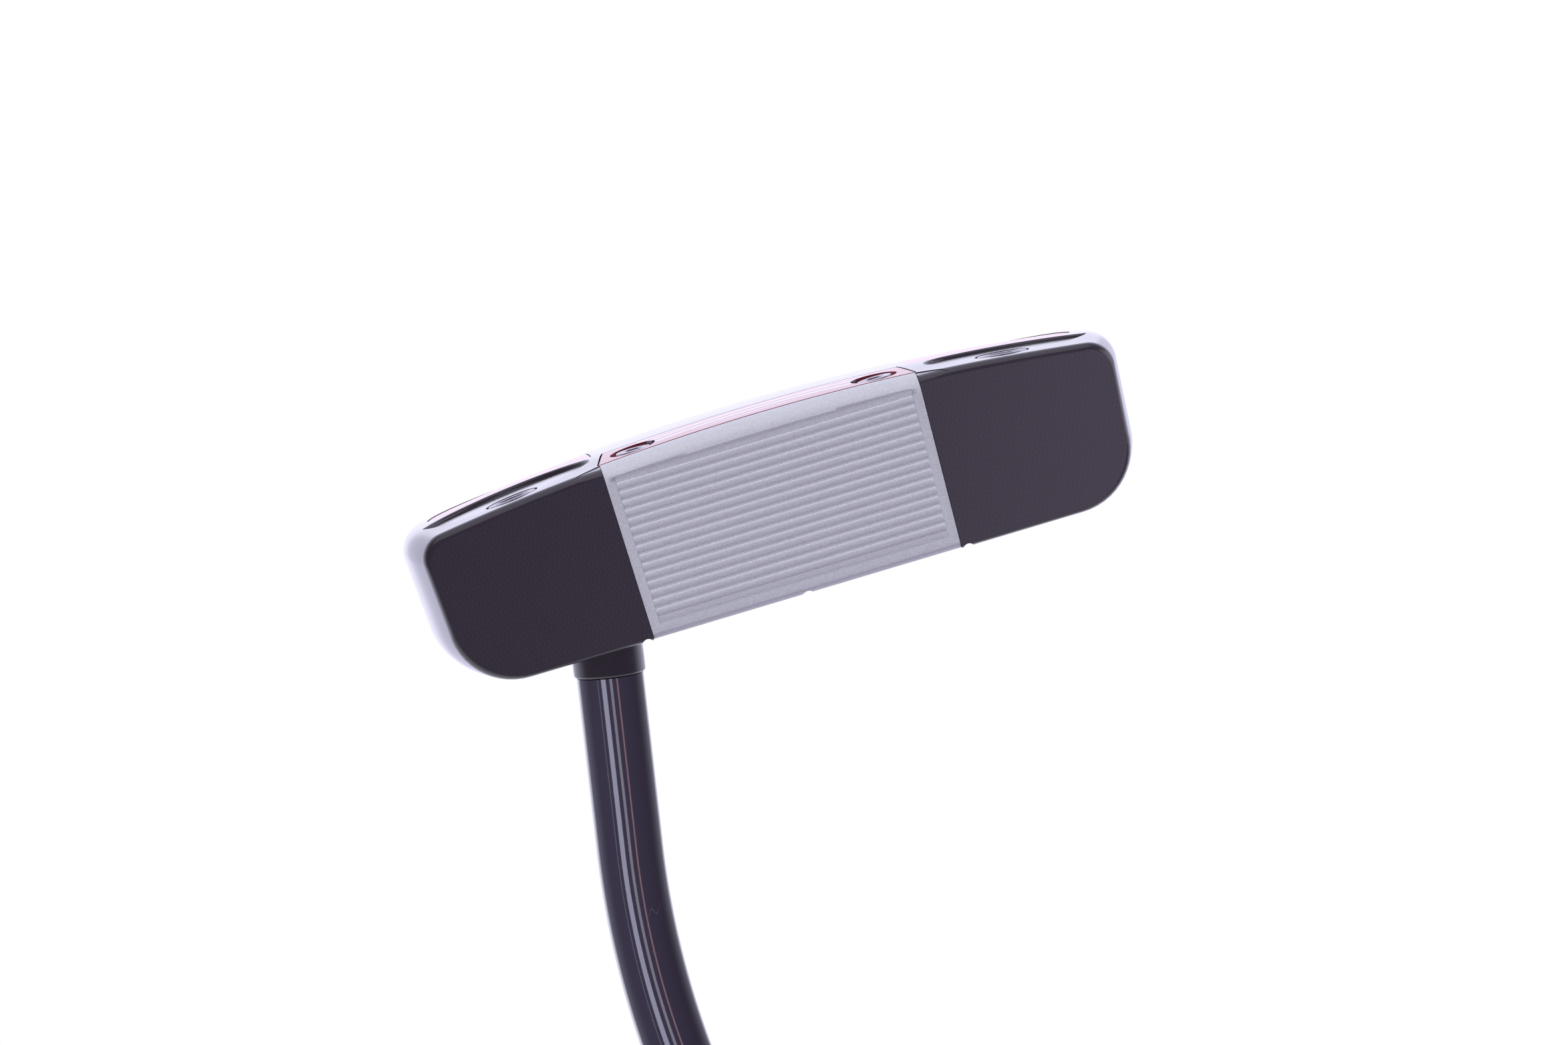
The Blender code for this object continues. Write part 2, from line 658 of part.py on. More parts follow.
def bend(corner, before, after, radius):
    """Points round a corner between two directions, on an arc that touches both."""
    angle = before.angle(after)
    reach = radius * math.tan(angle / 2)
    start = corner - before * reach
    axis = before.cross(after).normalized()
    centre = start + axis.cross(before) * radius
    points = []
    for i in range(BEND_STEPS + 1):
        turn = Matrix.Rotation(angle * i / BEND_STEPS, 3, axis)
        points.append((centre + turn @ (start - centre), turn @ before))
    return points


def shaft_stations():
    """Points down the shaft from the hosel to the butt, each with its direction and radius."""
    tip = TIP_DIAMETER / 2
    down = Vector((0, 0, -1))
    hosel_world = head_matrix @ hosel_matrix
    out = (hosel_world.to_3x3() @ Vector((0, 0, 1))).normalized()
    crown_exit = hosel_world.translation
    first = crown_exit + out * FIRST_BEND_FROM_CROWN
    second = Vector((0, 0, axis_point_height - SECOND_BEND_FROM_AXIS_POINT))
    between = (second - first).normalized()
    stations = [(crown_exit + out * (COLLAR_LENGTH + GAP), out, tip)]
    stations += [(p, d, tip) for p, d in bend(first, out, between, FIRST_BEND_RADIUS)]
    stations += [(p, d, tip) for p, d in bend(second, between, down, SECOND_BEND_RADIUS)]
    growth = (BUTT_DIAMETER - TIP_DIAMETER) / 2 / STEP_COUNT
    for i in range(STEP_COUNT):
        height = STEP_TOP_HEIGHT - STEP_PITCH * i
        stations.append((Vector((0, 0, height)), down, tip + growth * i))
        stations.append((Vector((0, 0, height - STEP_LENGTH)), down, tip + growth * (i + 1)))
    stations.append((Vector((0, 0, SHAFT_BUTT_HEIGHT)), down, BUTT_DIAMETER / 2))
    return stations


def tube_loops(stations, inset):
    """Circles square to a route, carried along it without twisting."""
    loops = []
    across = stations[0][1].orthogonal().normalized()
    last = stations[0][1]
    for point, along, radius in stations:
        across = last.rotation_difference(along) @ across
        last = along
        up = along.cross(across)
        loop = []
        for i in range(SHAFT_SIDES):
            angle = 2 * math.pi * i / SHAFT_SIDES
            loop.append(point + (radius - inset) * (across * math.cos(angle) + up * math.sin(angle)))
        loops.append(loop)
    return loops


def make_shaft(material):
    stations = shaft_stations()
    outside = tube_loops(stations, 0)
    inside = tube_loops(stations, SHAFT_WALL)
    return piece("shaft", loft(outside + inside[::-1], closed=True), material)


def grip_loop(z, at, inset=0.0):
    """The grip's section at a share of its length: round at the back and the sides, flat in front."""
    width = eased(GRIP_HALF_WIDTHS, at) - inset
    front = eased(GRIP_FRONTS, at) - inset
    back = eased(GRIP_BACKS, at) - inset
    loop = []
    for i in range(GRIP_SIDES):
        angle = 2 * math.pi * i / GRIP_SIDES
        c, s = math.cos(angle), math.sin(angle)
        x = front * c**GRIP_FRONT_FLATNESS if c > 0 else back * c
        loop.append(Vector((x, width * s, z)))
    return loop


def make_grip(rubber, plastic, tape_material):
    tape_inner = BUTT_DIAMETER / 2 + GAP
    tape_outer = tape_inner + TAPE_THICKNESS
    bore = tape_outer + GAP
    bottom = CAP_THICKNESS + GAP
    step = (GRIP_LENGTH - GRIP_TIP_EDGE - bottom) / GRIP_RINGS
    heights = [bottom + step * i for i in range(GRIP_RINGS + 1)]
    loops = [grip_loop(z, z / GRIP_LENGTH) for z in heights]
    loops.append(grip_loop(GRIP_LENGTH, 1, GRIP_TIP_EDGE))
    grip = piece("grip", loft(loops), rubber)
    cut(grip, rod("grip_bore", ((bore, -CUT_PAST), (bore, GRIP_LENGTH + CUT_PAST)), None))
    tape_high = GRIP_LENGTH - 2 * GRIP_TIP_EDGE
    tape_low = SHAFT_BUTT_HEIGHT + 2 * GAP
    ring("grip_tape", 2 * tape_outer, 2 * tape_inner, tape_low, tape_high, tape_material, None)
    cap_loops = []
    for angle in (math.pi / 2, math.pi / 4, 0):
        cap_loops.append(grip_loop(CAP_EDGE * (1 - math.sin(angle)), 0, CAP_EDGE * (1 - math.cos(angle))))
    cap_loops.append(grip_loop(CAP_THICKNESS, CAP_THICKNESS / GRIP_LENGTH))
    cap = piece("grip_cap", loft(cap_loops), plastic)
    plug = BUTT_DIAMETER / 2 - SHAFT_WALL - GAP
    stem = ((plug, CAP_THICKNESS / 2), (plug, CAP_THICKNESS + CAP_PLUG_LENGTH))
    combine(cap, rod("cap_plug", stem, None, SHAFT_SIDES), "UNION")


def main():
    for obj in list(bpy.data.objects):
        bpy.data.objects.remove(obj)
    black = finish("black_satin", (0.025, 0.022, 0.028), 0.42, 0.6)
    pale = finish("pale_insert", (0.52, 0.51, 0.58), 0.5, 0.3)
    red = finish("red_anodised", (0.45, 0.03, 0.04), 0.35, 0.6)
    steel = finish("bright_steel", (0.6, 0.6, 0.62), 0.3, 1.0)
    tungsten = finish("weight_metal", (0.5, 0.5, 0.54), 0.32, 1.0)
    gloss = finish("black_gloss", (0.02, 0.018, 0.02), 0.12, 0.4)
    rubber = finish("grip_rubber", (0.02, 0.02, 0.021), 0.75, 0.0)
    plastic = finish("cap_plastic", (0.03, 0.03, 0.032), 0.5, 0.0)
    film = finish("bond_film", (0.75, 0.73, 0.68), 0.6, 0.0)

    head = empty("head_frame", head_matrix)
    hosel = empty("hosel_frame", hosel_matrix, head)
    weights = {side: weight_frame(side, head) for side in SIDE_SIGNS}
    screws = {}
    for side, sign in SIDE_SIGNS.items():
        spot = Matrix.Translation((sign * PLATE_SCREW_SPACING / 2, PLATE_SCREW_DEPTH, 0))
        screws[side] = empty(f"{side}_plate_screw_axis", spot, head)

    make_body(head, weights, screws, hosel, black)
    make_insert(head, pale)
    make_bond(head, film)
    make_plate(head, screws, red, steel)
    for side, frame in weights.items():
        make_weight(side, frame, tungsten, steel)
        inlay_body(
            f"{side}_sole_inlay", side, 0, INLAY_SINK, INLAY_SINK + INLAY_THICKNESS, red, head
        )
    make_hosel(hosel, black)
    make_shaft(gloss)
    make_grip(rubber, plastic, film)


main()
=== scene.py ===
# %% [markdown]
# # A mallet putter, head up
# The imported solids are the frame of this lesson: they say where every piece sits and how it moves. Each
# step below gives one part of the club its fine shape and its finish, and lays it over the solid it stands
# for. The club stands on its butt with the sole up, so the world's +Z runs up the shaft, +X points to the
# toe and +Y to the back of the head.

# %% Load the frame
import json
import math

import bmesh
import bpy
from mathutils import Matrix, Vector

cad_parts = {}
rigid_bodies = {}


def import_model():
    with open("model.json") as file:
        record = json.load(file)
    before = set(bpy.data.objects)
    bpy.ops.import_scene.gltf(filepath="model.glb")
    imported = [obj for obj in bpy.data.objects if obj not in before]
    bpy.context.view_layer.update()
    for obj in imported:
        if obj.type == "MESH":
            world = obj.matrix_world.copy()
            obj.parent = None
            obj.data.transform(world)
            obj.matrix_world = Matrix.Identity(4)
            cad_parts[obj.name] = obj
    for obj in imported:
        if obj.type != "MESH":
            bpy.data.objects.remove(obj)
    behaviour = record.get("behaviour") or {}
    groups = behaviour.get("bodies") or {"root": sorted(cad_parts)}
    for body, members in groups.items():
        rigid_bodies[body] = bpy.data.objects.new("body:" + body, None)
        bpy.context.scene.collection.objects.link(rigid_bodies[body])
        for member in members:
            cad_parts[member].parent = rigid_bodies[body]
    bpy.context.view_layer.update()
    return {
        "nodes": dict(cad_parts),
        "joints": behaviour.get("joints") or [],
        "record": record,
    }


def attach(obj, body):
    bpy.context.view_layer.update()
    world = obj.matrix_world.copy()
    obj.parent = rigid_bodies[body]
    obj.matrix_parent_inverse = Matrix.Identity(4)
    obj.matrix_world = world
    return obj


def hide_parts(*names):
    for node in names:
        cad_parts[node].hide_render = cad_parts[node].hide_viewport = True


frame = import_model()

scene = bpy.context.scene
scene.view_settings.view_transform = "Standard"
mounts = {mount["name"]: mount for mount in frame["record"]["mounts"]}
joints = {joint["name"]: joint for joint in frame["joints"]}

# %% [markdown]
# ## A frame for the head
# The head leans on the shaft by its lie, so its shapes are easier to write in a frame of their own: x to the
# toe, y back from the face, z from the crown to the sole. The frame could be typed in as numbers. It is read
# from the record's mount on the crown instead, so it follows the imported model.

# %% The head's frame
CROWN_LAND = Vector((0.0116, 0.016, 0))

sole_way = -Vector(mounts["crown_land"]["axis"])
back_way = Vector((0, 1, 0))
toe_way = back_way.cross(sole_way).normalized()
head = Matrix((toe_way, back_way, sole_way)).transposed().to_4x4()
head.translation = Vector(mounts["crown_land"]["pos_m"]) - head.to_3x3() @ CROWN_LAND
print("head frame at", [round(c, 4) for c in head.translation])

# %% [markdown]
# ## The camera
# The photograph was taken with a long lens, almost square to the face, a few degrees above the plane of the
# sole and rolled so that the shaft leaves the frame at the bottom. A camera could be aimed with a constraint,
# but writing its three axes in the head's frame keeps each measured angle as one plain number.

# %% Camera
PHOTO_WIDTH = 2353
SENSOR = 36.0
CAMERA_RISE = math.radians(6.8)
CAMERA_SWING = math.radians(3.8664)
CAMERA_ROLL = math.radians(16.1037)
CAMERA_DISTANCE = 0.720904
PIXELS_PER_METRE = 10893.4
CAMERA_AIM = Vector((-0.0006317, 0, 0.0107978))

sight = Vector((
    math.sin(CAMERA_SWING) * math.cos(CAMERA_RISE),
    math.cos(CAMERA_SWING) * math.cos(CAMERA_RISE),
    -math.sin(CAMERA_RISE),
))
level = Vector((math.cos(CAMERA_SWING), -math.sin(CAMERA_SWING), 0))
upright = level.cross(sight)
picture_right = level * math.cos(CAMERA_ROLL) - upright * math.sin(CAMERA_ROLL)
picture_up = level * math.sin(CAMERA_ROLL) + upright * math.cos(CAMERA_ROLL)
view = Matrix((picture_right, picture_up, -sight)).transposed().to_4x4()
view.translation = CAMERA_AIM - sight * CAMERA_DISTANCE

lens = bpy.data.cameras.new("camera")
lens.sensor_width = SENSOR
lens.lens = PIXELS_PER_METRE * CAMERA_DISTANCE * SENSOR / PHOTO_WIDTH
lens.clip_start = 0.01
camera = bpy.data.objects.new("camera", lens)
camera.matrix_world = head @ view
scene.collection.objects.link(camera)
scene.camera = camera
print("lens", round(lens.lens, 1), "mm")

# %% [markdown]
# ## Shaping tools
# Most of the club is either turned on a lathe or milled from a block. Both come from the same idea: a skin
# stretched through a row of loops. Milled cuts are Boolean differences, and the result of each is kept as a
# plain mesh, so that no modifier is left to slow the later steps.

# %% Shaping tools
def loft(loops, closed=False):
    """A skin through loops of equally many points, capped unless it returns to its first loop."""
    bm = bmesh.new()
    rings = [[bm.verts.new(point) for point in loop] for loop in loops]
    count = len(rings[0])
    following = rings[1:] + rings[:1] if closed else rings[1:]
    for ring, after in zip(rings, following):
        for i in range(count):
            j = (i + 1) % count
            bm.faces.new((ring[i], ring[j], after[j], after[i]))
    if not closed:
        bm.faces.new(rings[0][::-1])
        bm.faces.new(rings[-1])
    return bm


def shape(name, bm, place):
    """A mesh object from a bmesh, moved to its place in the club's frame."""
    bmesh.ops.recalc_face_normals(bm, faces=bm.faces)
    mesh = bpy.data.meshes.new(name)
    bm.to_mesh(mesh)
    bm.free()
    mesh.transform(place)
    obj = bpy.data.objects.new(name, mesh)
    scene.collection.objects.link(obj)
    return obj


def baked(obj):
    """Turns what the modifiers make into a plain mesh."""
    bpy.context.view_layer.update()
    graph = bpy.context.evaluated_depsgraph_get()
    mesh = bpy.data.meshes.new_from_object(obj.evaluated_get(graph))
    obj.modifiers.clear()
    obj.data = mesh
    return obj


def combine(obj, tool, operation):
    modifier = obj.modifiers.new(operation.lower(), "BOOLEAN")
    modifier.operation = operation
    modifier.solver = "MANIFOLD"
    modifier.object = tool
    baked(obj)
    bpy.data.objects.remove(tool)


def carve(obj, *tools):
    for tool in tools:
        combine(obj, tool, "DIFFERENCE")
    return obj


print("shaping tools ready")

# %% [markdown]
# Real edges are never perfectly sharp: a narrow bevel catches the light along them. Faces that meet at a
# small angle are shaded as one surface, and weighting the normals by face area keeps large flats flat.

# %% Edges and shading
SMOOTH_BELOW = math.radians(33)


def soften(obj, width=0.0, segments=2):
    """Rounds the sharp edges by a width, if one is given, and sets the shading."""
    if width:
        bevel = obj.modifiers.new("edges", "BEVEL")
        bevel.width = width
        bevel.segments = segments
        bevel.limit_method = "ANGLE"
        bevel.angle_limit = SMOOTH_BELOW
        baked(obj)
    obj.data.shade_smooth()
    obj.data.set_sharp_from_angle(angle=SMOOTH_BELOW)
    even = obj.modifiers.new("even normals", "WEIGHTED_NORMAL")
    even.keep_sharp = True
    return baked(obj)


def coat(obj, finish):
    obj.data.materials.clear()
    obj.data.materials.append(finish)


def dress(obj, finish, body, slot, *nodes):
    """Gives a finished piece its material, its body and the solids that it stands for."""
    coat(obj, finish)
    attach(obj, body)
    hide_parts(*nodes)
    print(f"{obj.name}: {len(obj.data.polygons)} faces on {body}")


print("edge tools ready")

# %% [markdown]
# ## Wiring tools
# Finishes and patterns are node trees. Wiring them by hand takes many lines, so one class wraps a socket and
# lets Python's own operators add Math nodes, and one method adds any other node.

# %% Wiring tools
class Wire:
    """A socket that takes part in Python sums."""

    def __init__(self, board, socket):
        self.board = board
        self.socket = socket

    def math(self, operation, *values):
        return self.board.node("ShaderNodeMath", {"operation": operation}, dict(enumerate(values)))

    def __add__(self, other):
        return self.math("ADD", self, other)

    def __radd__(self, other):
        return self.math("ADD", other, self)

    def __sub__(self, other):
        return self.math("SUBTRACT", self, other)

    def __rsub__(self, other):
        return self.math("SUBTRACT", other, self)

    def __mul__(self, other):
        return self.math("MULTIPLY", self, other)

    def __rmul__(self, other):
        return self.math("MULTIPLY", other, self)

    def __truediv__(self, other):
        return self.math("DIVIDE", self, other)

    def __rtruediv__(self, other):
        return self.math("DIVIDE", other, self)

    def __lt__(self, other):
        return self.math("LESS_THAN", self, other)

    def __gt__(self, other):
        return self.math("GREATER_THAN", self, other)

    def __abs__(self):
        return self.math("ABSOLUTE", self)

    def root(self):
        return self.math("SQRT", self)

    def cosine(self):
        return self.math("COSINE", self)


class Board:
    """A node tree that is wired up in Python."""

    def __init__(self, tree):
        self.tree = tree

    def node(self, kind, settings=None, sockets=None, out=0):
        """Adds a node, sets it up, feeds its sockets with values or wires, and gives one output."""
        made = self.tree.nodes.new(kind)
        for key, value in (settings or {}).items():
            setattr(made, key, value)
        for key, value in (sockets or {}).items():
            if isinstance(value, Wire):
                self.tree.links.new(value.socket, made.inputs[key])
            else:
                made.inputs[key].default_value = value
        return Wire(self, made.outputs[out])

    def axes(self, vector):
        split = self.node("ShaderNodeSeparateXYZ", sockets={0: vector}).socket.node
        return [Wire(self, output) for output in split.outputs]

    def ramp(self, value, low, high):
        """Rises smoothly from 0 to 1 between two values."""
        sockets = {"Value": value, "From Min": low, "From Max": high}
        return self.node("ShaderNodeMapRange", {"interpolation_type": "SMOOTHSTEP"}, sockets)

    def mix(self, share, first, second):
        """A colour between two others."""
        return self.node("ShaderNodeMix", {"data_type": "RGBA"}, {0: share, 6: first, 7: second}, out=2)


print("wiring tools ready")

# %% [markdown]
# A finish is a Principled shader with what varies over the surface wired into it. Positions come from Object
# coordinates, turned into the frame of the piece they decorate, so a pattern stays on its piece.

# %% Finishes
class Finish(Board):
    """A material. Constants are set on the shader's own sockets, by name."""

    def __init__(self, name, constants):
        self.material = bpy.data.materials.new(name)
        self.material.use_nodes = True
        super().__init__(self.material.node_tree)
        self.shader = self.tree.nodes["Principled BSDF"]
        for socket, value in constants.items():
            self.shader.inputs[socket].default_value = value

    def feed(self, socket, wire):
        self.tree.links.new(wire.socket, self.shader.inputs[socket])

    def place(self, matrix):
        """Position in a frame of its own, which is given in the club's frame."""
        where = self.node("ShaderNodeTexCoord", out="Object")
        turn = {"Vector": where, "Location": matrix.translation, "Rotation": matrix.to_euler()}
        return self.node("ShaderNodeMapping", {"vector_type": "TEXTURE"}, turn)

    def stretched(self, vector, scale):
        sockets = {0: vector, 1: scale}
        return self.node("ShaderNodeVectorMath", {"operation": "MULTIPLY"}, sockets)

    def noise(self, vector, size, detail):
        sockets = {"Vector": vector, "Scale": 1 / size, "Detail": detail}
        return self.node("ShaderNodeTexNoise", sockets=sockets)

    def facing(self, way):
        """How squarely the surface faces a direction: 1 when it looks straight along it."""
        normal = self.node("ShaderNodeNewGeometry", out="Normal")
        sockets = {0: normal, 1: way}
        return self.node("ShaderNodeVectorMath", {"operation": "DOT_PRODUCT"}, sockets, out="Value")

    def bump(self, height, depth):
        """Shades the surface as if it rose by a depth where the height is 1."""
        self.feed("Normal", self.node("ShaderNodeBump", sockets={"Distance": depth, "Height": height}))


def wave(position, pitch):
    """Swings between -1 and 1, once in each pitch."""
    return (position * (2 * math.pi / pitch)).cosine()


print("finish tools ready")

# %% [markdown]
# ## Black satin on the head
# The head is milled aluminium with a black anodised skin. Its face carries the cutter's marks as rows of
# faint staggered dots, and the sight lines on the crown are filled with white paint. Marks this fine would
# need millions of faces, so they are a bump: the product of two waves gives staggered rows by itself.

# %% Black satin
BLACK_SATIN = (0.020, 0.016, 0.024, 1)
MILLED_DOT = (0.030, 0.026, 0.035, 1)
LINE_PAINT = (0.80, 0.80, 0.78, 1)
DOT_PITCH = 0.000654
DOT_ROW_PITCH = 0.00075
DOT_ROW_RADIUS = 0.6
SIGHT_LINE_FROM_CENTRE = 0.0232
SIGHT_LINE_WIDTH = 0.0015
SIGHT_LINE_DEPTH = 0.0005
SIGHT_LINE_LENGTH = 0.046
CENTRE_LINE_END = 0.035
PAINT_START = 0.0035
CENTRE_PAINT_START = 0.009
PAINT_OVERLAP = 0.00002

face_way = Vector(mounts["striking_face"]["axis"])
satin = Finish("black_satin", {"IOR": 1.5, "Coat Weight": 1.0, "Coat Roughness": 0.18})
spot = satin.place(head)
x, y, z = satin.axes(spot)
row = z + x * x / (2 * DOT_ROW_RADIUS)
dots = wave(x, DOT_PITCH) * wave(row, 2 * DOT_ROW_PITCH)
on_face = satin.ramp(satin.facing(face_way), 0.95, 0.99)
cloud = satin.noise(spot, 0.011, 3)
grain = satin.noise(spot, 0.00022, 2)
line_edge = SIGHT_LINE_WIDTH / 2 + PAINT_OVERLAP
outer_lines = (abs(abs(x) - SIGHT_LINE_FROM_CENTRE) < line_edge) * (y < SIGHT_LINE_LENGTH)
centre_line = (abs(x) < line_edge) * (y > CENTRE_PAINT_START) * (y < CENTRE_LINE_END)
painted = (outer_lines + centre_line) * (z < SIGHT_LINE_DEPTH * 1.1) * (y > PAINT_START)
milled = satin.ramp(dots, 0.35, 0.95) * on_face
satin.feed("Base Color", satin.mix(painted, satin.mix(milled, BLACK_SATIN, MILLED_DOT), LINE_PAINT))
satin.feed("Roughness", 0.28 + cloud * 0.08 + painted * 0.2)
satin.bump(dots * on_face * 0.5 + grain * 0.35, 0.000006)
black_satin = satin.material
print("black satin:", len(satin.tree.nodes), "nodes")

# %% [markdown]
# ## The head's blank
# Before anything is cut, the head is a half-round block: flat in front, elliptical behind, with a sole that
# is curved both ways and a crown with a wide soft edge. Subdivision could round a rough block, but every
# section of this one follows a few known radii, so a loft of computed sections holds the true sizes.

# %% Head sizes
LOFT = math.asin(-face_way.dot(sole_way))
FACE_HEIGHT = 0.026
FRONT_HALF_WIDTH = 0.0495
WIDEST_HALF_WIDTH = 0.0521
WIDEST_DEPTH = 0.022
HEAD_DEPTH = 0.068
SOLE_CAMBER_RADIUS = 0.330
SOLE_ROCKER_RADIUS = 0.300
SOLE_LEVEL_DEPTH = 0.008
SOLE_RISE = 0.00045
SOLE_RISE_END = 0.014
CROWN_LEVEL_DEPTH = 0.028
CROWN_SWEEP = 0.010
SOLE_CORNER_RADIUS = 0.0038
SOLE_CORNER_SHARE = 0.4
CROWN_CORNER_RADIUS = 0.0090
CROWN_CORNER_SHARE = 0.5
END_LEAN = math.radians(1.7)
FRONT_EDGE_RADIUS = 0.0012
CROWN_EDGE_SHARE = 0.4
END_EDGE_SHARE = 0.4
HEAD_TAIL = math.radians(89.6)


def eased(stations, at):
    """The value at a place between (place, value) stations, with level ends to each stretch."""
    for (start, first), (end, last) in zip(stations, stations[1:]):
        if at <= end:
            share = max(0.0, (at - start) / (end - start))
            return first + (last - first) * share * share * (3 - 2 * share)
    return stations[-1][1]


def half_width(depth):
    if depth < WIDEST_DEPTH:
        reach = WIDEST_DEPTH / math.sqrt(1 - (FRONT_HALF_WIDTH / WIDEST_HALF_WIDTH) ** 2)
    else:
        reach = HEAD_DEPTH - WIDEST_DEPTH
    return WIDEST_HALF_WIDTH * math.sqrt(max(0.0, 1 - ((depth - WIDEST_DEPTH) / reach) ** 2))


def sole_height(across, depth):
    rocker = max(0.0, depth - SOLE_LEVEL_DEPTH)
    rise = eased(((0, 0.0), (SOLE_RISE_END, SOLE_RISE)), depth)
    return FACE_HEIGHT + rise - across**2 / (2 * SOLE_CAMBER_RADIUS) - rocker**2 / (2 * SOLE_ROCKER_RADIUS)


print("loft", round(math.degrees(LOFT), 2), "degrees")

# %% Head blank
SOLE_POINTS = 26
CORNER_POINTS = 14
CROWN_POINTS = 8
FRONT_RINGS = 10
MIDDLE_RINGS = 8
REAR_RINGS = 44


def head_section(depth, inset):
    """The head's outline at a depth, drawn in by what is left of the front edge's rounding."""
    width = half_width(depth) - END_EDGE_SHARE * inset
    crown = eased(((CROWN_LEVEL_DEPTH, 0.0), (HEAD_DEPTH, CROWN_SWEEP)), depth)
    crown += CROWN_EDGE_SHARE * inset
    edge = sole_height(width, depth) - inset
    room = min(edge - crown, width)
    sole_radius = min(SOLE_CORNER_RADIUS, SOLE_CORNER_SHARE * room)
    crown_radius = min(CROWN_CORNER_RADIUS, CROWN_CORNER_SHARE * room)
    slope = math.asin(width / SOLE_CAMBER_RADIUS)
    reach = width - sole_radius * (1 - math.sin(slope))
    half = []
    for i in range(SOLE_POINTS):
        across = reach * i / SOLE_POINTS
        half.append((across, sole_height(across, depth) - inset))
    start = Vector((reach, sole_height(reach, depth) - inset))
    centre = start - sole_radius * Vector((math.sin(slope), math.cos(slope)))
    for i in range(CORNER_POINTS):
        angle = (math.pi / 2 - slope) * (1 - i / (CORNER_POINTS - 1))
        half.append((centre.x + sole_radius * math.cos(angle), centre.y + sole_radius * math.sin(angle)))
    taper = (edge - crown) * math.tan(END_LEAN)
    corner = Vector((width - taper - crown_radius, crown + crown_radius))
    for i in range(CORNER_POINTS):
        angle = -math.pi / 2 * i / (CORNER_POINTS - 1)
        half.append((corner.x + crown_radius * math.cos(angle), corner.y + crown_radius * math.sin(angle)))
    for i in range(1, CROWN_POINTS + 1):
        half.append((corner.x * (1 - i / CROWN_POINTS), crown))
    outline = half + [(-across, up) for across, up in reversed(half[1:-1])]
    fade = max(0.0, 1 - depth / WIDEST_DEPTH) * math.tan(LOFT)
    return [Vector((across, depth + (FACE_HEIGHT - up) * fade, up)) for across, up in outline]


def head_blank(shift=Matrix(), edge=FRONT_EDGE_RADIUS):
    """The head before anything is cut, with a front edge of some radius, moved within its own frame."""
    stations = []
    for i in range(FRONT_RINGS):
        angle = math.pi / 2 * i / (FRONT_RINGS - 1)
        stations.append((edge * (1 - math.cos(angle)), edge * (1 - math.sin(angle))))
    middle = WIDEST_DEPTH - edge
    for i in range(1, MIDDLE_RINGS + 1):
        stations.append((edge + middle * i / MIDDLE_RINGS, 0.0))
    for i in range(1, REAR_RINGS):
        angle = HEAD_TAIL * i / (REAR_RINGS - 1)
        stations.append((WIDEST_DEPTH + (HEAD_DEPTH - WIDEST_DEPTH) * math.sin(angle), 0.0))
    return shape("head_blank", loft([head_section(*station) for station in stations]), head @ shift)


body = head_blank()
body.name = "milled_head"
print("head blank:", len(body.data.polygons), "faces")

# %% [markdown]
# ## Cuts in the sole
# Two crescent pockets are milled into the sole with a ball cutter, so their tips and rims are round. The
# outline is two arcs with a small arc in each tip, and the rim is rounded by letting the cutting shape flare
# as it nears the surface. A bevel after the cut would have to follow hundreds of short edges instead.

# %% Pocket outlines
SIDES = {"heel": -1, "toe": 1}
POCKET_INNER = 0.0231
POCKET_OUTER = 0.0484
POCKET_TIP_DEPTH = 0.0125
POCKET_FRONT_DEPTH = 0.0032
POCKET_REAR_DEPTHS = {"heel": 0.0195, "toe": 0.0150}
POCKET_INNER_TIP = 0.0042
POCKET_OUTER_TIP = 0.0005
POCKET_RIM = 0.0004
POCKET_ARC_POINTS = 60
INNER_TIP_POINTS = 16
OUTER_TIP_POINTS = 10


def arc(centre, radius, start, end, count):
    angles = [start + (end - start) * i / count for i in range(count)]
    return [centre + radius * Vector((math.cos(a), math.sin(a))) for a in angles]


def pocket_outline(side):
    """A pocket seen from above, as points and the directions out of it."""
    half = (POCKET_OUTER - POCKET_INNER) / 2
    rises = (POCKET_TIP_DEPTH - POCKET_FRONT_DEPTH, POCKET_REAR_DEPTHS[side] - POCKET_TIP_DEPTH)
    front, rear = [(half**2 + rise**2) / (2 * rise) for rise in rises]
    front_at = POCKET_FRONT_DEPTH + front
    rear_at = POCKET_REAR_DEPTHS[side] - rear
    tips = []
    for tip, way in ((POCKET_INNER_TIP, -1), (POCKET_OUTER_TIP, 1)):
        gain = (front - tip) ** 2 - (rear - tip) ** 2
        depth = (gain - front_at**2 + rear_at**2) / (2 * (rear_at - front_at))
        tips.append(Vector((way * math.sqrt((front - tip) ** 2 - (depth - front_at) ** 2), depth)))
    inner, outer = tips
    low = [math.atan2(tip.y - front_at, tip.x) for tip in tips]
    high = [math.atan2(tip.y - rear_at, tip.x) for tip in tips]
    points = arc(Vector((0, front_at)), front, low[0], low[1], POCKET_ARC_POINTS)
    points += arc(outer, POCKET_OUTER_TIP, low[1], high[1], OUTER_TIP_POINTS)
    points += arc(Vector((0, rear_at)), rear, high[1], high[0], POCKET_ARC_POINTS)
    points += arc(inner, POCKET_INNER_TIP, high[0], low[0] + 2 * math.pi, INNER_TIP_POINTS)
    middle = (POCKET_OUTER + POCKET_INNER) / 2
    outline = []
    for before, point, after in zip(points[-1:] + points, points, points[1:] + points[:1]):
        run = (after - before).normalized()
        flip = SIDES[side]
        outline.append((Vector((flip * (middle + point.x), point.y)), Vector((flip * run.y, -run.x))))
    return outline


print("pocket outline:", len(pocket_outline("heel")), "points")

# %% [markdown]
# A pocket's floor runs down towards the back from just under the front rail. Cutting the pocket's own tool
# with a tilted copy of the blank gives that floor the sole's curve for free.

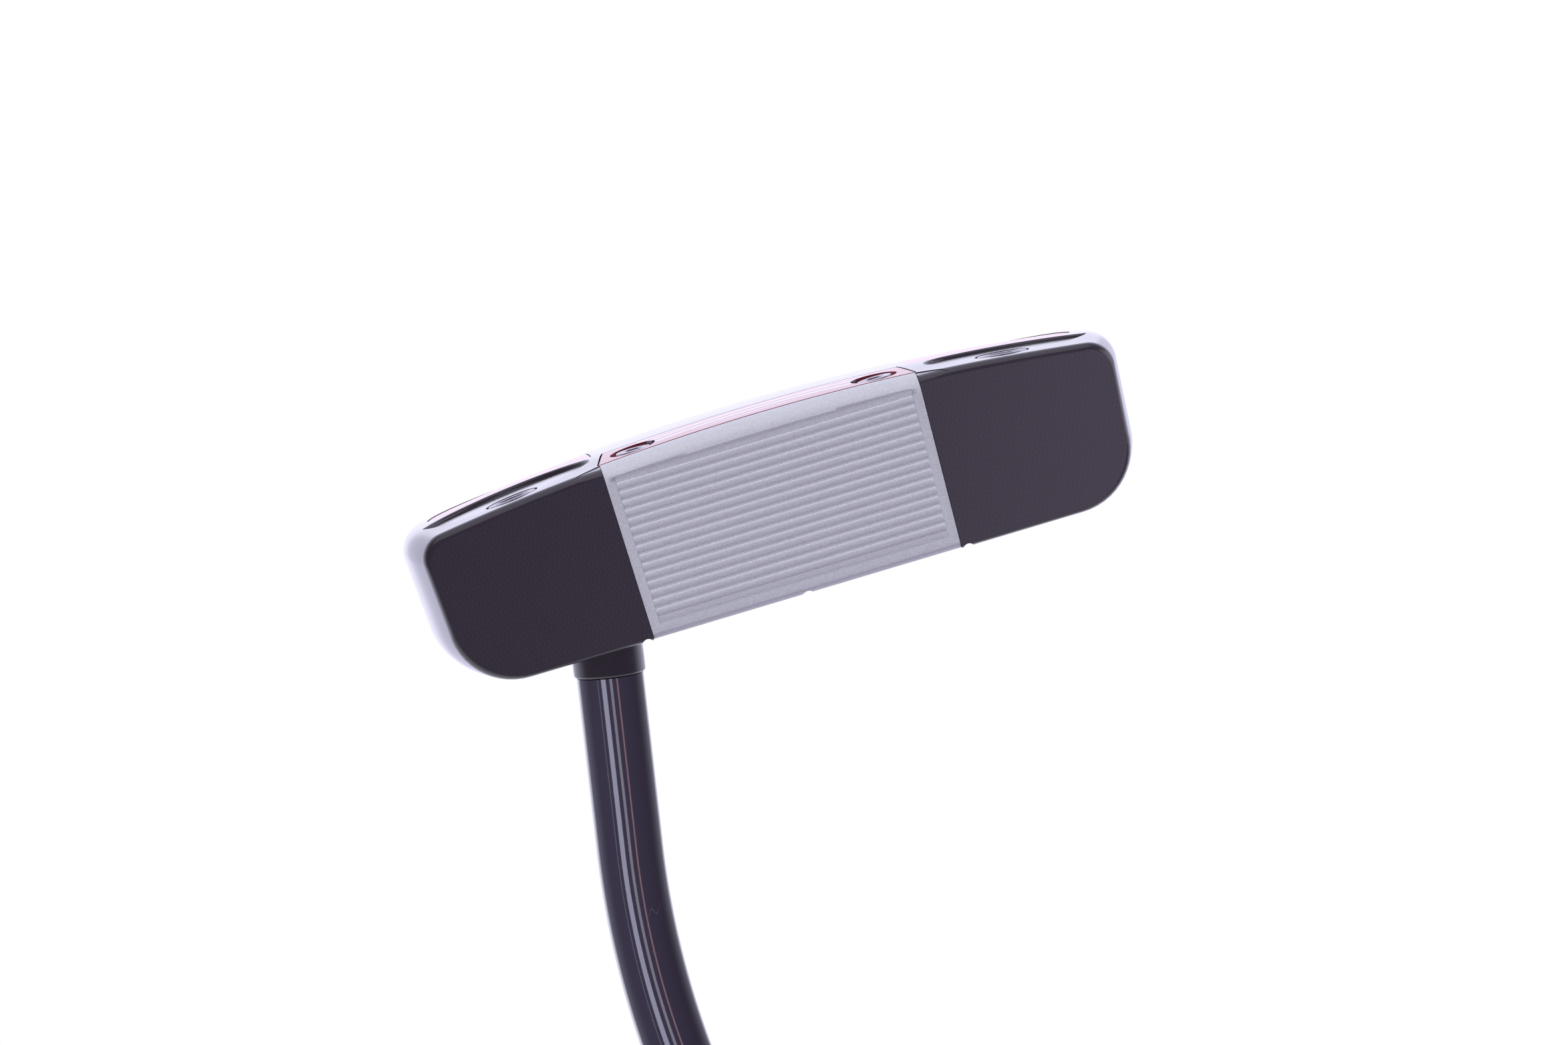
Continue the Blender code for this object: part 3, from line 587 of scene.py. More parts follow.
# %% Pocket tools
POCKET_FLOOR_TILT = math.radians(2.6)
POCKET_FRONT_LIP = 0.001
POCKET_WALL = 0.0010
POCKET_DRAFT = math.radians(26)
RIM_RINGS = 6
RIM_RING_ANGLE = math.radians(14)
CUT_PAST = 0.004


def pocket_tool(side):
    """A cutter with drafted walls that flares to the rim's rounding and ends at the pocket's floor."""
    outline = pocket_outline(side)
    foot = [point - out * POCKET_WALL * math.tan(POCKET_DRAFT) for point, out in outline]
    loops = [[Vector((p.x, p.y, 0)) for p in foot]]
    loops.append([Vector((p.x, p.y, sole_height(p.x, p.y) - POCKET_RIM - POCKET_WALL)) for p in foot])
    for step in range(RIM_RINGS):
        angle = RIM_RING_ANGLE * step
        flare = POCKET_RIM * (1 - math.cos(angle))
        drop = POCKET_RIM * (1 - math.sin(angle))
        ring = [point + out * flare for point, out in outline]
        loops.append([Vector((p.x, p.y, sole_height(p.x, p.y) - drop)) for p in ring])
    loops.append([Vector((p.x, p.y, FACE_HEIGHT + CUT_PAST)) for p in ring])
    pivot = Matrix.Translation((0, POCKET_FRONT_DEPTH - POCKET_FRONT_LIP, FACE_HEIGHT))
    tilt = pivot @ Matrix.Rotation(-POCKET_FLOOR_TILT, 4, "X") @ pivot.inverted()
    return carve(shape("pocket_tool", loft(loops), head), head_blank(tilt))


for side in SIDES:
    carve(body, pocket_tool(side))
print("pockets cut:", len(body.data.polygons), "faces")

# %% [markdown]
# Behind each pocket a red field is let into the sole. Its recess is cut with a skin that ends at a lowered
# copy of the blank, so the recess keeps one depth all over the curved sole.

# %% Red fields
INLAY_HALF_WIDTH = 0.0475
INLAY_CENTRE_DEPTH = 0.022
INLAY_REAR_DEPTH = 0.060
INLAY_LAND = 0.0006
INLAY_THICKNESS = 0.0008
INLAY_SINK = 0.00012
INLAY_FIT = 0.00012
INLAY_ARC_STEPS = 48
REARWARD = 0.75


def inlay_outline(side, margin):
    """The red field between a pocket's rear edge and an ellipse, grown by a margin."""
    across = INLAY_HALF_WIDTH + margin
    along = INLAY_REAR_DEPTH - INLAY_CENTRE_DEPTH + margin
    inner = POCKET_INNER - margin
    front = []
    for point, out in reversed(pocket_outline(side)):
        depth = point.y + INLAY_LAND - margin
        limit = across * math.sqrt(max(0.0, 1 - ((depth - INLAY_CENTRE_DEPTH) / along) ** 2))
        if out.y > REARWARD and inner + INLAY_LAND < abs(point.x) < limit - INLAY_LAND:
            front.append((point.x, depth))
    front = [(SIDES[side] * inner, front[0][1])] + front
    low = math.asin(min(1.0, max(0.0, (front[-1][1] - INLAY_CENTRE_DEPTH) / along)))
    high = math.acos(inner / across)
    for i in range(INLAY_ARC_STEPS + 1):
        angle = low + (high - low) * i / INLAY_ARC_STEPS
        front.append((SIDES[side] * across * math.cos(angle), INLAY_CENTRE_DEPTH + along * math.sin(angle)))
    return front


def prism(outline, low, high):
    return loft([[Vector((across, depth, up)) for across, depth in outline] for up in (low, high)])


def sole_skin(name, outline, bottom):
    """A skin from a depth under the sole to well above it."""
    skin = shape(name, prism(outline, 0, FACE_HEIGHT + CUT_PAST), head)
    return carve(skin, head_blank(Matrix.Translation((0, 0, -bottom))))


for side in SIDES:
    carve(body, sole_skin("inlay_recess", inlay_outline(side, INLAY_FIT), INLAY_SINK + INLAY_THICKNESS))
print("recesses cut:", len(body.data.polygons), "faces")

# %% [markdown]
# The insert lies in a slot across the face, and the sole plate in a shallow seat behind it. Beside the
# insert's corners the sole dips by a few tenths of a millimetre towards the face, inside a line that slants
# from the plate's corner out to the front edge.

# %% Slot, seat and corner steps
INSERT_SOLE_HALF_WIDTH = 0.02275
INSERT_CROWN_HALF_WIDTH = 0.0222
INSERT_THICKNESS = 0.003
SLOT_BACK = 0.004
INSERT_FIT = 0.00006
PLATE_FRONT = 0.0036
PLATE_FRONT_HALF_WIDTH = 0.0228
PLATE_REAR_HALF_WIDTH = 0.0214
PLATE_REAR_DEPTH = 0.0138
PLATE_THICKNESS = 0.0036
PLATE_FIT = 0.00028
PLATE_BOTTOM = sole_height(PLATE_FRONT_HALF_WIDTH, PLATE_REAR_DEPTH) - PLATE_THICKNESS
STEP_OUTER = 0.0272
STEP_INNER = 0.0200
STEP_REAR = 0.0040
STEP_START_SHARE = 0.05
STEP_BOW = 0.0004
STEP_LIP = 0.00010
STEP_SLOPE = 0.09
STEP_EDGE_RADIUS = 0.0014
STEP_SECTIONS = 12
STEP_POINTS = 24


def leaned(across, depth, up):
    """A point at a depth measured square to the leaning face."""
    return Vector((across, depth / math.cos(LOFT) + (FACE_HEIGHT - up) * math.tan(LOFT), up))


def insert_width(up):
    """Half the insert's width at a height: it narrows towards the crown."""
    return INSERT_CROWN_HALF_WIDTH + (INSERT_SOLE_HALF_WIDTH - INSERT_CROWN_HALF_WIDTH) * up / FACE_HEIGHT


def face_slab(name, margin, front, back, low, high):
    """A slab of the insert's tapered width, parallel to the face."""
    loops = []
    for up in (low, high):
        width = insert_width(up) + margin
        corners = ((-width, front), (width, front), (width, back), (-width, back))
        loops.append([leaned(across, depth, up) for across, depth in corners])
    return shape(name, loft(loops), head)


def plate_outline(margin):
    front, rear = PLATE_FRONT - margin, PLATE_REAR_DEPTH + margin
    wide, narrow = PLATE_FRONT_HALF_WIDTH + margin, PLATE_REAR_HALF_WIDTH + margin
    return ((-wide, front), (wide, front), (narrow, rear), (-narrow, rear))


def corner_step(side):
    """A dip that rounds over to the face, inside a line from the plate's corner to the front edge."""
    loops = []
    for i in range(STEP_SECTIONS + 1):
        share = i / STEP_SECTIONS
        across = SIDES[side] * (STEP_OUTER + (STEP_INNER - STEP_OUTER) * share)
        rear = STEP_REAR * (STEP_START_SHARE + (1 - STEP_START_SHARE) * share)
        rear += STEP_BOW * math.sin(share * math.pi)
        edge = FRONT_EDGE_RADIUS + (STEP_EDGE_RADIUS - FRONT_EDGE_RADIUS) * share
        loop = []
        for j in range(STEP_POINTS + 1):
            depth = rear * j / STEP_POINTS
            rounding = edge - math.sqrt(edge**2 - max(0.0, edge - depth) ** 2)
            drop = STEP_LIP + STEP_SLOPE * (rear - depth) + rounding
            loop.append(Vector((across, depth, sole_height(across, depth) - drop)))
        loop.append(Vector((across, rear, FACE_HEIGHT + CUT_PAST)))
        loop.append(Vector((across, -CUT_PAST, FACE_HEIGHT + CUT_PAST)))
        loop.append(Vector((across, -CUT_PAST, loop[0].z)))
        loops.append(loop)
    return shape("corner_step", loft(loops), head)


carve(body, corner_step("heel"), corner_step("toe"))
carve(body, face_slab("slot", INSERT_FIT, -CUT_PAST, SLOT_BACK, -CUT_PAST, FACE_HEIGHT + CUT_PAST))
carve(body, shape("seat", prism(plate_outline(PLATE_FIT), PLATE_BOTTOM, FACE_HEIGHT + CUT_PAST), head))
print("front cut:", len(body.data.polygons), "faces")

# %% [markdown]
# ## Bores and sight lines
# The weights, the plate's bushes and the hosel sit in drilled holes, and three round-bottomed lines are
# milled into the crown. Every round tool is a turned profile, so one helper serves them all. The weights'
# axes come from their joints in the record.

# %% Bores
ROUND_SIDES = 72
CLEARANCE = 0.0003
WEIGHT_DIAMETER = 0.0071
WEIGHT_BORE = WEIGHT_DIAMETER + 2 * CLEARANCE
WEIGHT_BORE_FLOOR = -0.0093
WEIGHT_BUSH_BORE = 0.0064
WEIGHT_BUSH_FLOOR = -0.0153
PLATE_SCREW_FROM_CENTRE = 0.0175
PLATE_SCREW_DEPTH = 0.0078
PLATE_BUSH_BORE = 0.0066
PLATE_BUSH_DEPTH = 0.0072
PLATE_BUSH_LEAD = 0.0005
HOSEL_FROM_CENTRE = 0.0286
HOSEL_BEHIND_FACE = 0.0095
HOSEL_LEAN = math.radians(9.75)
COLLAR_DIAMETER = 0.0101
COLLAR_FIT = 0.00005
COLLAR_SEAT = 0.0022
SHANK_DIAMETER = 0.0080
SHANK_LENGTH = 0.0100


def turned(name, profile, place, closed=False):
    """A body turned about z from (radius, height) points."""
    angles = [2 * math.pi * i / ROUND_SIDES for i in range(ROUND_SIDES)]
    loops = []
    for radius, up in profile:
        loops.append([Vector((radius * math.cos(a), radius * math.sin(a), up)) for a in angles])
    return shape(name, loft(loops, closed), place)


def weight_place(side):
    """A frame at the top of a weight, with z out of the sole along its axis."""
    joint = joints[f"{side}_weight_screw_turn"]
    turn = Vector(joint["axis"]).to_track_quat("Z", "Y").to_matrix().to_4x4()
    return Matrix.Translation(joint["pos_m"]) @ turn


def plate_screw_place(side):
    return head @ Matrix.Translation((SIDES[side] * PLATE_SCREW_FROM_CENTRE, PLATE_SCREW_DEPTH, 0))


for side in SIDES:
    weight_bore = (
        (WEIGHT_BUSH_BORE / 2, WEIGHT_BUSH_FLOOR),
        (WEIGHT_BUSH_BORE / 2, WEIGHT_BORE_FLOOR),
        (WEIGHT_BORE / 2, WEIGHT_BORE_FLOOR),
        (WEIGHT_BORE / 2, CUT_PAST),
    )
    carve(body, turned("weight_bore", weight_bore, weight_place(side)))
    bush_bore = (
        (PLATE_BUSH_BORE / 2, PLATE_BOTTOM - PLATE_BUSH_DEPTH),
        (PLATE_BUSH_BORE / 2, PLATE_BOTTOM + PLATE_BUSH_LEAD),
    )
    carve(body, turned("bush_bore", bush_bore, plate_screw_place(side)))
hosel = head @ Matrix.Translation((-HOSEL_FROM_CENTRE, HOSEL_BEHIND_FACE, 0))
hosel = hosel @ Matrix.Rotation(math.pi + HOSEL_LEAN, 4, "Y")
collar_bore = COLLAR_DIAMETER / 2 + COLLAR_FIT
shank_bore = SHANK_DIAMETER / 2 + CLEARANCE
hosel_bore = (
    (shank_bore, -SHANK_LENGTH - COLLAR_SEAT - 2 * CLEARANCE),
    (shank_bore, -COLLAR_SEAT - CLEARANCE),
    (collar_bore, -COLLAR_SEAT - CLEARANCE),
    (collar_bore, CUT_PAST),
)
carve(body, turned("hosel_bore", hosel_bore, hosel))
print("bores cut:", len(body.data.polygons), "faces")

# %% Sight lines
line_radius = (SIGHT_LINE_WIDTH**2 / 4 + SIGHT_LINE_DEPTH**2) / (2 * SIGHT_LINE_DEPTH)


def sight_line(across, end):
    """A round cutter that runs back along the crown from in front of the face."""
    along = Matrix.Translation((across, 0, SIGHT_LINE_DEPTH - line_radius))
    along = along @ Matrix.Rotation(-math.pi / 2, 4, "X")
    return turned("sight_line", ((line_radius, -CUT_PAST), (line_radius, end)), head @ along)


for side in SIDES:
    carve(body, sight_line(SIDES[side] * SIGHT_LINE_FROM_CENTRE, SIGHT_LINE_LENGTH))
carve(body, sight_line(0, CENTRE_LINE_END))
soften(body)
dress(body, black_satin, "club", "head_black", "head_body")

# %% [markdown]
# ## The face insert
# The insert is a pale cast plate with a sandy spray finish. Its field of fine ribs is what touches the ball.
# The plate is cut from the same blank as the head, so that it follows the face and rolls over at the sole,
# and the middle sight line runs out through its crown edge as a small notch.

# %% Insert finish
INSERT_PALE = (0.55, 0.57, 0.64, 1)
INSERT_LIGHT = (0.66, 0.68, 0.74, 1)

pale = Finish("insert_pale", {"Metallic": 0.0, "IOR": 1.45})
spot = pale.place(head)
fine = pale.noise(spot, 0.00020, 3)
coarse = pale.noise(spot, 0.0006, 2)
pale.feed("Base Color", pale.mix(pale.ramp(fine, 0.35, 0.75), INSERT_PALE, INSERT_LIGHT))
pale.feed("Roughness", 0.5 + coarse * 0.15)
pale.bump(fine * 0.7 + coarse * 0.5, 0.00006)
print("insert finish:", len(pale.tree.nodes), "nodes")

# %% Insert plate
FIELD_SIDE_BORDER = 0.0014
FIELD_CROWN_BORDER = 0.00243
FIELD_SOLE_BORDER = 0.00295
FIELD_DEPTH = 0.00034
FIELD_DRAFT = 0.00035
FIELD_SOLE_DRAFT = 0.0007
INSERT_SOLE_ROLL = 0.0026
INSERT_EDGE = 0.00018

insert = face_slab("ribbed_insert", 0, -CUT_PAST, INSERT_THICKNESS, -CUT_PAST, FACE_HEIGHT + CUT_PAST)
combine(insert, head_blank(edge=INSERT_SOLE_ROLL), "INTERSECT")
soften(insert, INSERT_EDGE)
carve(insert, sight_line(0, CENTRE_LINE_END))
field_low, field_high = FIELD_CROWN_BORDER, FACE_HEIGHT - FIELD_SOLE_BORDER
loops = []
for depth, draft in ((-FIELD_DEPTH, 2.0), (FIELD_DEPTH, 0.0)):
    low, high = field_low - draft * FIELD_DRAFT, field_high + draft * FIELD_SOLE_DRAFT
    loop = []
    for up in (low, high):
        width = insert_width(up) - FIELD_SIDE_BORDER + draft * FIELD_DRAFT / 4
        ends = (-width, width) if up == low else (width, -width)
        loop += [leaned(across, depth, up) for across in ends]
    loops.append(loop)
carve(insert, shape("field", loft(loops), head))
print("insert plate:", len(insert.data.polygons), "faces")

# %% [markdown]
# The ribs repeat at one pitch, so a Geometry Nodes tree makes them: one rounded bar, set on a row of points
# up the field and joined to the plate. The bars lie half sunk in the field's floor and run a little way into
# its side walls. Each leans a few degrees, so that its upper edge stands out as a thin ledge that catches the
# light and its face falls back below.

# %% Pattern tool
class Pattern(Board):
    """A Geometry Nodes tree with named inputs, given as a dictionary of their values."""

    KINDS = {int: "Int", float: "Float", Vector: "Vector", bpy.types.Material: "Material"}

    def __init__(self, name, inputs):
        super().__init__(bpy.data.node_groups.new(name, "GeometryNodeTree"))
        self.values = inputs
        ports = self.tree.interface
        ports.new_socket("Geometry", in_out="OUTPUT", socket_type="NodeSocketGeometry")
        ports.new_socket("Geometry", in_out="INPUT", socket_type="NodeSocketGeometry")
        self.ids = {}
        for label, value in inputs.items():
            kind = "NodeSocket" + self.KINDS[type(value)]
            self.ids[label] = ports.new_socket(label, in_out="INPUT", socket_type=kind).identifier
        self.entry = self.tree.nodes.new("NodeGroupInput")
        self.exit = self.tree.nodes.new("NodeGroupOutput")

    def given(self, label):
        return Wire(self, self.entry.outputs[label])

    def vector(self, *parts):
        return self.node("ShaderNodeCombineXYZ", sockets=dict(enumerate(parts)))

    def finish(self, *wires):
        """Joins the geometry, makes instances real and sets the material named in the inputs."""
        joined = self.tree.nodes.new("GeometryNodeJoinGeometry")
        for wire in wires:
            self.tree.links.new(wire.socket, joined.inputs[0])
        real = self.node("GeometryNodeRealizeInstances", sockets={0: Wire(self, joined.outputs[0])})
        coated = self.node("GeometryNodeSetMaterial", sockets={0: real, "Material": self.given("Finish")})
        self.tree.links.new(coated.socket, self.exit.inputs[0])

    def apply(self, obj):
        modifier = obj.modifiers.new(self.tree.name, "NODES")
        modifier.node_group = self.tree
        for label, value in self.values.items():
            modifier[self.ids[label]] = value
        return baked(obj)


print("pattern tool ready")

# %% Insert ribs
GROOVES = 16
RIB_CREST = 0.0004
RIB_HALF_WIDTH = 0.00068
RIB_RISE = 0.00012
RIB_LEAN = math.radians(9)
RIB_SUNK = 0.00018
RIB_RUN_IN = 0.0003

rib_pitch = (field_high - field_low + RIB_CREST) / GROOVES
field_foot = head @ leaned(0, FIELD_DEPTH + RIB_SUNK, field_low + rib_pitch - RIB_CREST / 2)
face_turn = head.to_3x3() @ Matrix.Rotation(LOFT, 3, "X")
ribs = Pattern("face_ribs", {
    "Ribs": GROOVES - 1,
    "Pitch": rib_pitch / math.cos(LOFT),
    "Length": 2 * (INSERT_SOLE_HALF_WIDTH - FIELD_SIDE_BORDER + RIB_RUN_IN),
    "Half width": RIB_HALF_WIDTH,
    "Height": RIB_RISE + RIB_SUNK,
    "Lean": RIB_LEAN,
    "Foot": field_foot,
    "Turn": Vector(face_turn.to_euler()),
    "Finish": pale.material,
})
half_length = ribs.given("Length") * 0.5
bar = ribs.node("GeometryNodeCurvePrimitiveLine", sockets={
    "Start": ribs.vector(half_length * -1.0, 0.0, 0.0), "End": ribs.vector(half_length, 0.0, 0.0)})
ring = ribs.node("GeometryNodeCurvePrimitiveCircle", sockets={"Resolution": 20, "Radius": 1.0})
oval = ribs.node("GeometryNodeTransform", sockets={
    0: ring,
    "Rotation": ribs.vector(0.0, 0.0, ribs.given("Lean")),
    "Scale": ribs.vector(ribs.given("Height"), ribs.given("Half width"), 1.0),
})
rib = ribs.node("GeometryNodeCurveToMesh", sockets={"Curve": bar, "Profile Curve": oval, "Fill Caps": True})
row = ribs.node("GeometryNodeMeshLine", sockets={
    "Count": ribs.given("Ribs"), "Offset": ribs.vector(0.0, 0.0, ribs.given("Pitch"))})
rows = ribs.node("GeometryNodeInstanceOnPoints", sockets={"Points": row, "Instance": rib})
placed = ribs.node("GeometryNodeTransform", sockets={
    0: rows, "Translation": ribs.given("Foot"), "Rotation": ribs.given("Turn")})
ribs.finish(ribs.given("Geometry"), placed)
ribs.apply(insert)
soften(insert)
dress(insert, pale.material, "club", "insert_pale", "face_insert")

# %% [markdown]
# ## Red anodised sole plate and fields
# The plate behind the insert and the two fields are thin aluminium sheet, anodised red. Anodising follows
# the brushed grain of the sheet. The plate carries plain curved stripes, where the colour is masked off and
# the bare metal shows: a band of arcs that close on each other towards the ends.

# %% Red anodised
RED = (0.52, 0.045, 0.075, 1)
RED_DEEP = (0.40, 0.020, 0.040, 1)
BARE = (0.58, 0.55, 0.70, 1)
STRIPE_PITCH = 0.0026
STRIPE_BOW = 7.0
STRIPE_FAN = 1500
STRIPES_HALF_WIDTH = 0.0165
STRIPES_FRONT = 0.0060
STRIPES_REAR = 0.0128

red = Finish("red_anodised", {"Coat Weight": 0.8, "Coat Roughness": 0.16})
spot = red.place(head)
x, y, z = red.axes(spot)
brushed = red.noise(red.stretched(spot, (0.06, 1.0, 1.0)), 0.00012, 3)
fan = 1 - x * x * STRIPE_FAN
stripe = wave(y - PLATE_REAR_DEPTH + x * x * STRIPE_BOW, STRIPE_PITCH)
on_plate = (abs(x) < STRIPES_HALF_WIDTH) * (y > STRIPES_FRONT) * (y < STRIPES_REAR)
masked = red.ramp(stripe, -0.1, 0.25) * on_plate * red.ramp(fan, 0.0, 0.35)
coloured = red.mix(brushed, RED_DEEP, RED)
red.feed("Base Color", red.mix(masked, coloured, BARE))
red.feed("Metallic", 0.55 + masked * 0.4)
red.feed("Roughness", 0.26 + brushed * 0.14)
red.bump(brushed, 0.000004)
print("red anodised:", len(red.tree.nodes), "nodes")

# %% Sole plate
PLATE_COUNTERBORE = 0.0066
PLATE_SCREW_SINK = 0.0001
PLATE_SCREW_HEAD = 0.0050
PLATE_SCREW_HEAD_HEIGHT = 0.0014
PLATE_SCREW_SHANK = 0.0034
PLATE_SCREW_TOP = sole_height(PLATE_SCREW_FROM_CENTRE, PLATE_SCREW_DEPTH) - PLATE_SCREW_SINK
PLATE_SEAT = PLATE_SCREW_TOP - PLATE_SCREW_HEAD_HEIGHT - CLEARANCE
PLATE_EDGE = 0.00012

sheet = prism(plate_outline(0), PLATE_BOTTOM + CLEARANCE, FACE_HEIGHT + CUT_PAST)
plate = shape("red_plate", sheet, head)
combine(plate, head_blank(), "INTERSECT")
hole = PLATE_SCREW_SHANK / 2 + CLEARANCE
for side in SIDES:
    screw_hole = (
        (hole, PLATE_BOTTOM - CUT_PAST),
        (hole, PLATE_SEAT),
        (PLATE_COUNTERBORE / 2, PLATE_SEAT),
        (PLATE_COUNTERBORE / 2, FACE_HEIGHT + CUT_PAST),
    )
    carve(plate, turned("screw_hole", screw_hole, plate_screw_place(side)))
soften(plate, PLATE_EDGE)
dress(plate, red.material, "club", "red_anodised", "sole_plate")

# %% Red fields in the sole
INLAY_BED_GAP = 0.00005
INLAY_EDGE = 0.00008

for side in SIDES:
    bottom = INLAY_SINK + INLAY_THICKNESS - INLAY_BED_GAP
    inlay = sole_skin(f"{side}_red_field", inlay_outline(side, 0), bottom)
    combine(inlay, head_blank(Matrix.Translation((0, 0, -INLAY_SINK))), "INTERSECT")
    soften(inlay, INLAY_EDGE)
    dress(inlay, red.material, "club", "red_anodised", f"{side}_sole_inlay")

# %% [markdown]
# ## Screws and weights
# The screws and the two sole weights are turned steel with a hexagon socket. A lathe leaves fine rings round
# the axis, so each finish is set on its own piece's axis and the rings come from the distance to it.

# %% Turned metal
STEEL = (0.56, 0.56, 0.59, 1)
STEEL_DARK = (0.40, 0.40, 0.43, 1)
SCREW_CHAMFER = 0.0003
SCREW_EDGE = 0.00018


def turned_metal(name, place, roughness):
    """Steel with a lathe's rings about the z axis of a place."""
    metal = Finish(name, {"Metallic": 1.0})
    spot = metal.place(place)
    x, y, z = metal.axes(spot)
    radius = (x * x + y * y).root()
    rings = metal.noise(metal.node("ShaderNodeCombineXYZ", sockets={0: radius, 2: z}), 0.00009, 2)
    stain = metal.noise(spot, 0.0012, 2)
    metal.feed("Base Color", metal.mix(metal.ramp(stain, 0.35, 0.7), STEEL_DARK, STEEL))
    metal.feed("Roughness", roughness + rings * 0.14)
    metal.bump(rings, 0.000004)
    return metal.material


def hex_socket(across_flats, depth, place):
    angles = [math.pi / 3 * i for i in range(6)]
    reach = across_flats / math.sqrt(3)
    loops = []
    for up in (-depth, CUT_PAST):
        loops.append([Vector((reach * math.cos(a), reach * math.sin(a), up)) for a in angles])
    return shape("socket", loft(loops), place)


def socket_screw(name, head_size, shank, length, socket, place):
    """A socket screw along z with the top of its head at zero."""
    wide, tall = head_size
    profile = (
        (shank / 2 - SCREW_CHAMFER, -tall - length),
        (shank / 2, -tall - length + SCREW_CHAMFER),
        (shank / 2, -tall),
        (wide / 2, -tall),
        (wide / 2, 0),
    )
    made = carve(turned(name, profile, place), hex_socket(*socket, place))
    return soften(made, SCREW_EDGE, 3)


print("turned metal ready")

# %% Plate screws
PLATE_SCREW_END = PLATE_BOTTOM - 0.0066
PLATE_SCREW_SOCKET = (0.0025, 0.0009)

for side in SIDES:
    top = plate_screw_place(side) @ Matrix.Translation((0, 0, PLATE_SCREW_TOP))
    screw = socket_screw(
        f"{side}_plate_bolt",
        (PLATE_SCREW_HEAD, PLATE_SCREW_HEAD_HEIGHT),
        PLATE_SCREW_SHANK,
        PLATE_SEAT - PLATE_SCREW_END,
        PLATE_SCREW_SOCKET,
        top,
    )
    steel = turned_metal(f"{side}_plate_bolt_steel", top, 0.22)
    dress(screw, steel, "club", "bright_steel", f"{side}_plate_screw")

# %% [markdown]
# A weight is a short plug with a counterbore for its captive screw. The screw turns, the weight only slides,
# so they are pieces on two bodies, and each is drawn at rest where its joint starts.

# %% Sole weights
WEIGHT_LENGTH = 0.0090
WEIGHT_COUNTERBORE = 0.0050
WEIGHT_COUNTERBORE_DEPTH = 0.0042
WEIGHT_HOLE = 0.0036
WEIGHT_EDGE = 0.00025
WEIGHT_SCREW_SINK = 0.0007
WEIGHT_SCREW_HEAD = 0.0044
WEIGHT_SCREW_HEAD_HEIGHT = 0.0024
WEIGHT_SCREW_SHANK = 0.0030
WEIGHT_SCREW_LENGTH = 0.0115
WEIGHT_SCREW_SOCKET = (0.0030, 0.0014)

for side in SIDES:
    axis = weight_place(side)
    plug = (
        (WEIGHT_HOLE / 2, -WEIGHT_LENGTH),
        (WEIGHT_DIAMETER / 2, -WEIGHT_LENGTH),
        (WEIGHT_DIAMETER / 2, 0),
        (WEIGHT_COUNTERBORE / 2, 0),
        (WEIGHT_COUNTERBORE / 2, -WEIGHT_COUNTERBORE_DEPTH),
        (WEIGHT_HOLE / 2, -WEIGHT_COUNTERBORE_DEPTH),
    )
    weight = soften(turned(f"{side}_turned_weight", plug, axis, closed=True), WEIGHT_EDGE, 3)
    metal = turned_metal(f"{side}_weight_metal", axis, 0.24)
    dress(weight, metal, f"{side}_weight", "weight_metal", f"{side}_weight")
    top = axis @ Matrix.Translation((0, 0, -WEIGHT_SCREW_SINK))
    screw = socket_screw(
        f"{side}_weight_bolt",
        (WEIGHT_SCREW_HEAD, WEIGHT_SCREW_HEAD_HEIGHT),
        WEIGHT_SCREW_SHANK,
        WEIGHT_SCREW_LENGTH,
        WEIGHT_SCREW_SOCKET,
        top,
    )
    steel = turned_metal(f"{side}_weight_bolt_steel", top, 0.3)
    dress(screw, steel, f"{side}_weight_screw", "bright_steel", f"{side}_weight_screw")

# %% [markdown]
# ## The hosel
# A turned collar stands on the crown, and the shaft slides over the post inside it. It has the head's finish.
# Only the collar shows, and its rims are rounded so that they catch a thin line of light.

# %% Hosel collar
COLLAR_LENGTH = 0.0038
COLLAR_EDGE = 0.0004
POST_LENGTH = 0.0220
TIP_DIAMETER = 0.0094
SHAFT_WALL = 0.0005

post = TIP_DIAMETER / 2 - SHAFT_WALL - CLEARANCE
collar = (
    (SHANK_DIAMETER / 2, -SHANK_LENGTH - COLLAR_SEAT),
    (SHANK_DIAMETER / 2, -COLLAR_SEAT),
    (COLLAR_DIAMETER / 2, -COLLAR_SEAT),
    (COLLAR_DIAMETER / 2, COLLAR_LENGTH),
    (post, COLLAR_LENGTH),
    (post, COLLAR_LENGTH + POST_LENGTH),
)
hosel_piece = soften(turned("collar_and_post", collar, hosel), COLLAR_EDGE, 4)
dress(hosel_piece, black_satin, "club", "head_black", "hosel_post")

# %% [markdown]
# ## The shaft
# The shaft is a thin steel tube with two bends near the head and rolled steps higher up, plated and painted
# gloss black. A curve with a bevel would do for the bends, but not for the steps, so circles are carried
# along the route instead, each with its own radius.

# %% Gloss black
GLOSS_BLACK = (0.024, 0.022, 0.033, 1)
SCRATCH = (0.16, 0.15, 0.18, 1)

gloss = Finish("gloss_black", {"Metallic": 0.0, "Coat Roughness": 0.04, "IOR": 1.4})
spot = gloss.place(Matrix())
long_grain = gloss.noise(gloss.stretched(spot, (1.0, 1.0, 0.03)), 0.0004, 3)
drift = gloss.noise(gloss.stretched(spot, (1.0, 1.0, 0.05)), 0.0016, 1)
handled = gloss.ramp(gloss.noise(spot, 0.006, 2), 0.60, 0.75)
scratch = (1 - gloss.ramp(abs(drift - 0.5), 0.0, 0.006)) * handled
dust = gloss.ramp(gloss.noise(spot, 0.0006, 2), 0.68, 0.78)
gloss.feed("Base Color", gloss.mix(scratch * 0.35 + dust * 0.08, GLOSS_BLACK, SCRATCH))
gloss.feed("Roughness", 0.04 + long_grain * 0.04 + scratch * 0.2 + dust * 0.1)
gloss.bump(long_grain * 0.3, 0.000002)
print("gloss black:", len(gloss.tree.nodes), "nodes")

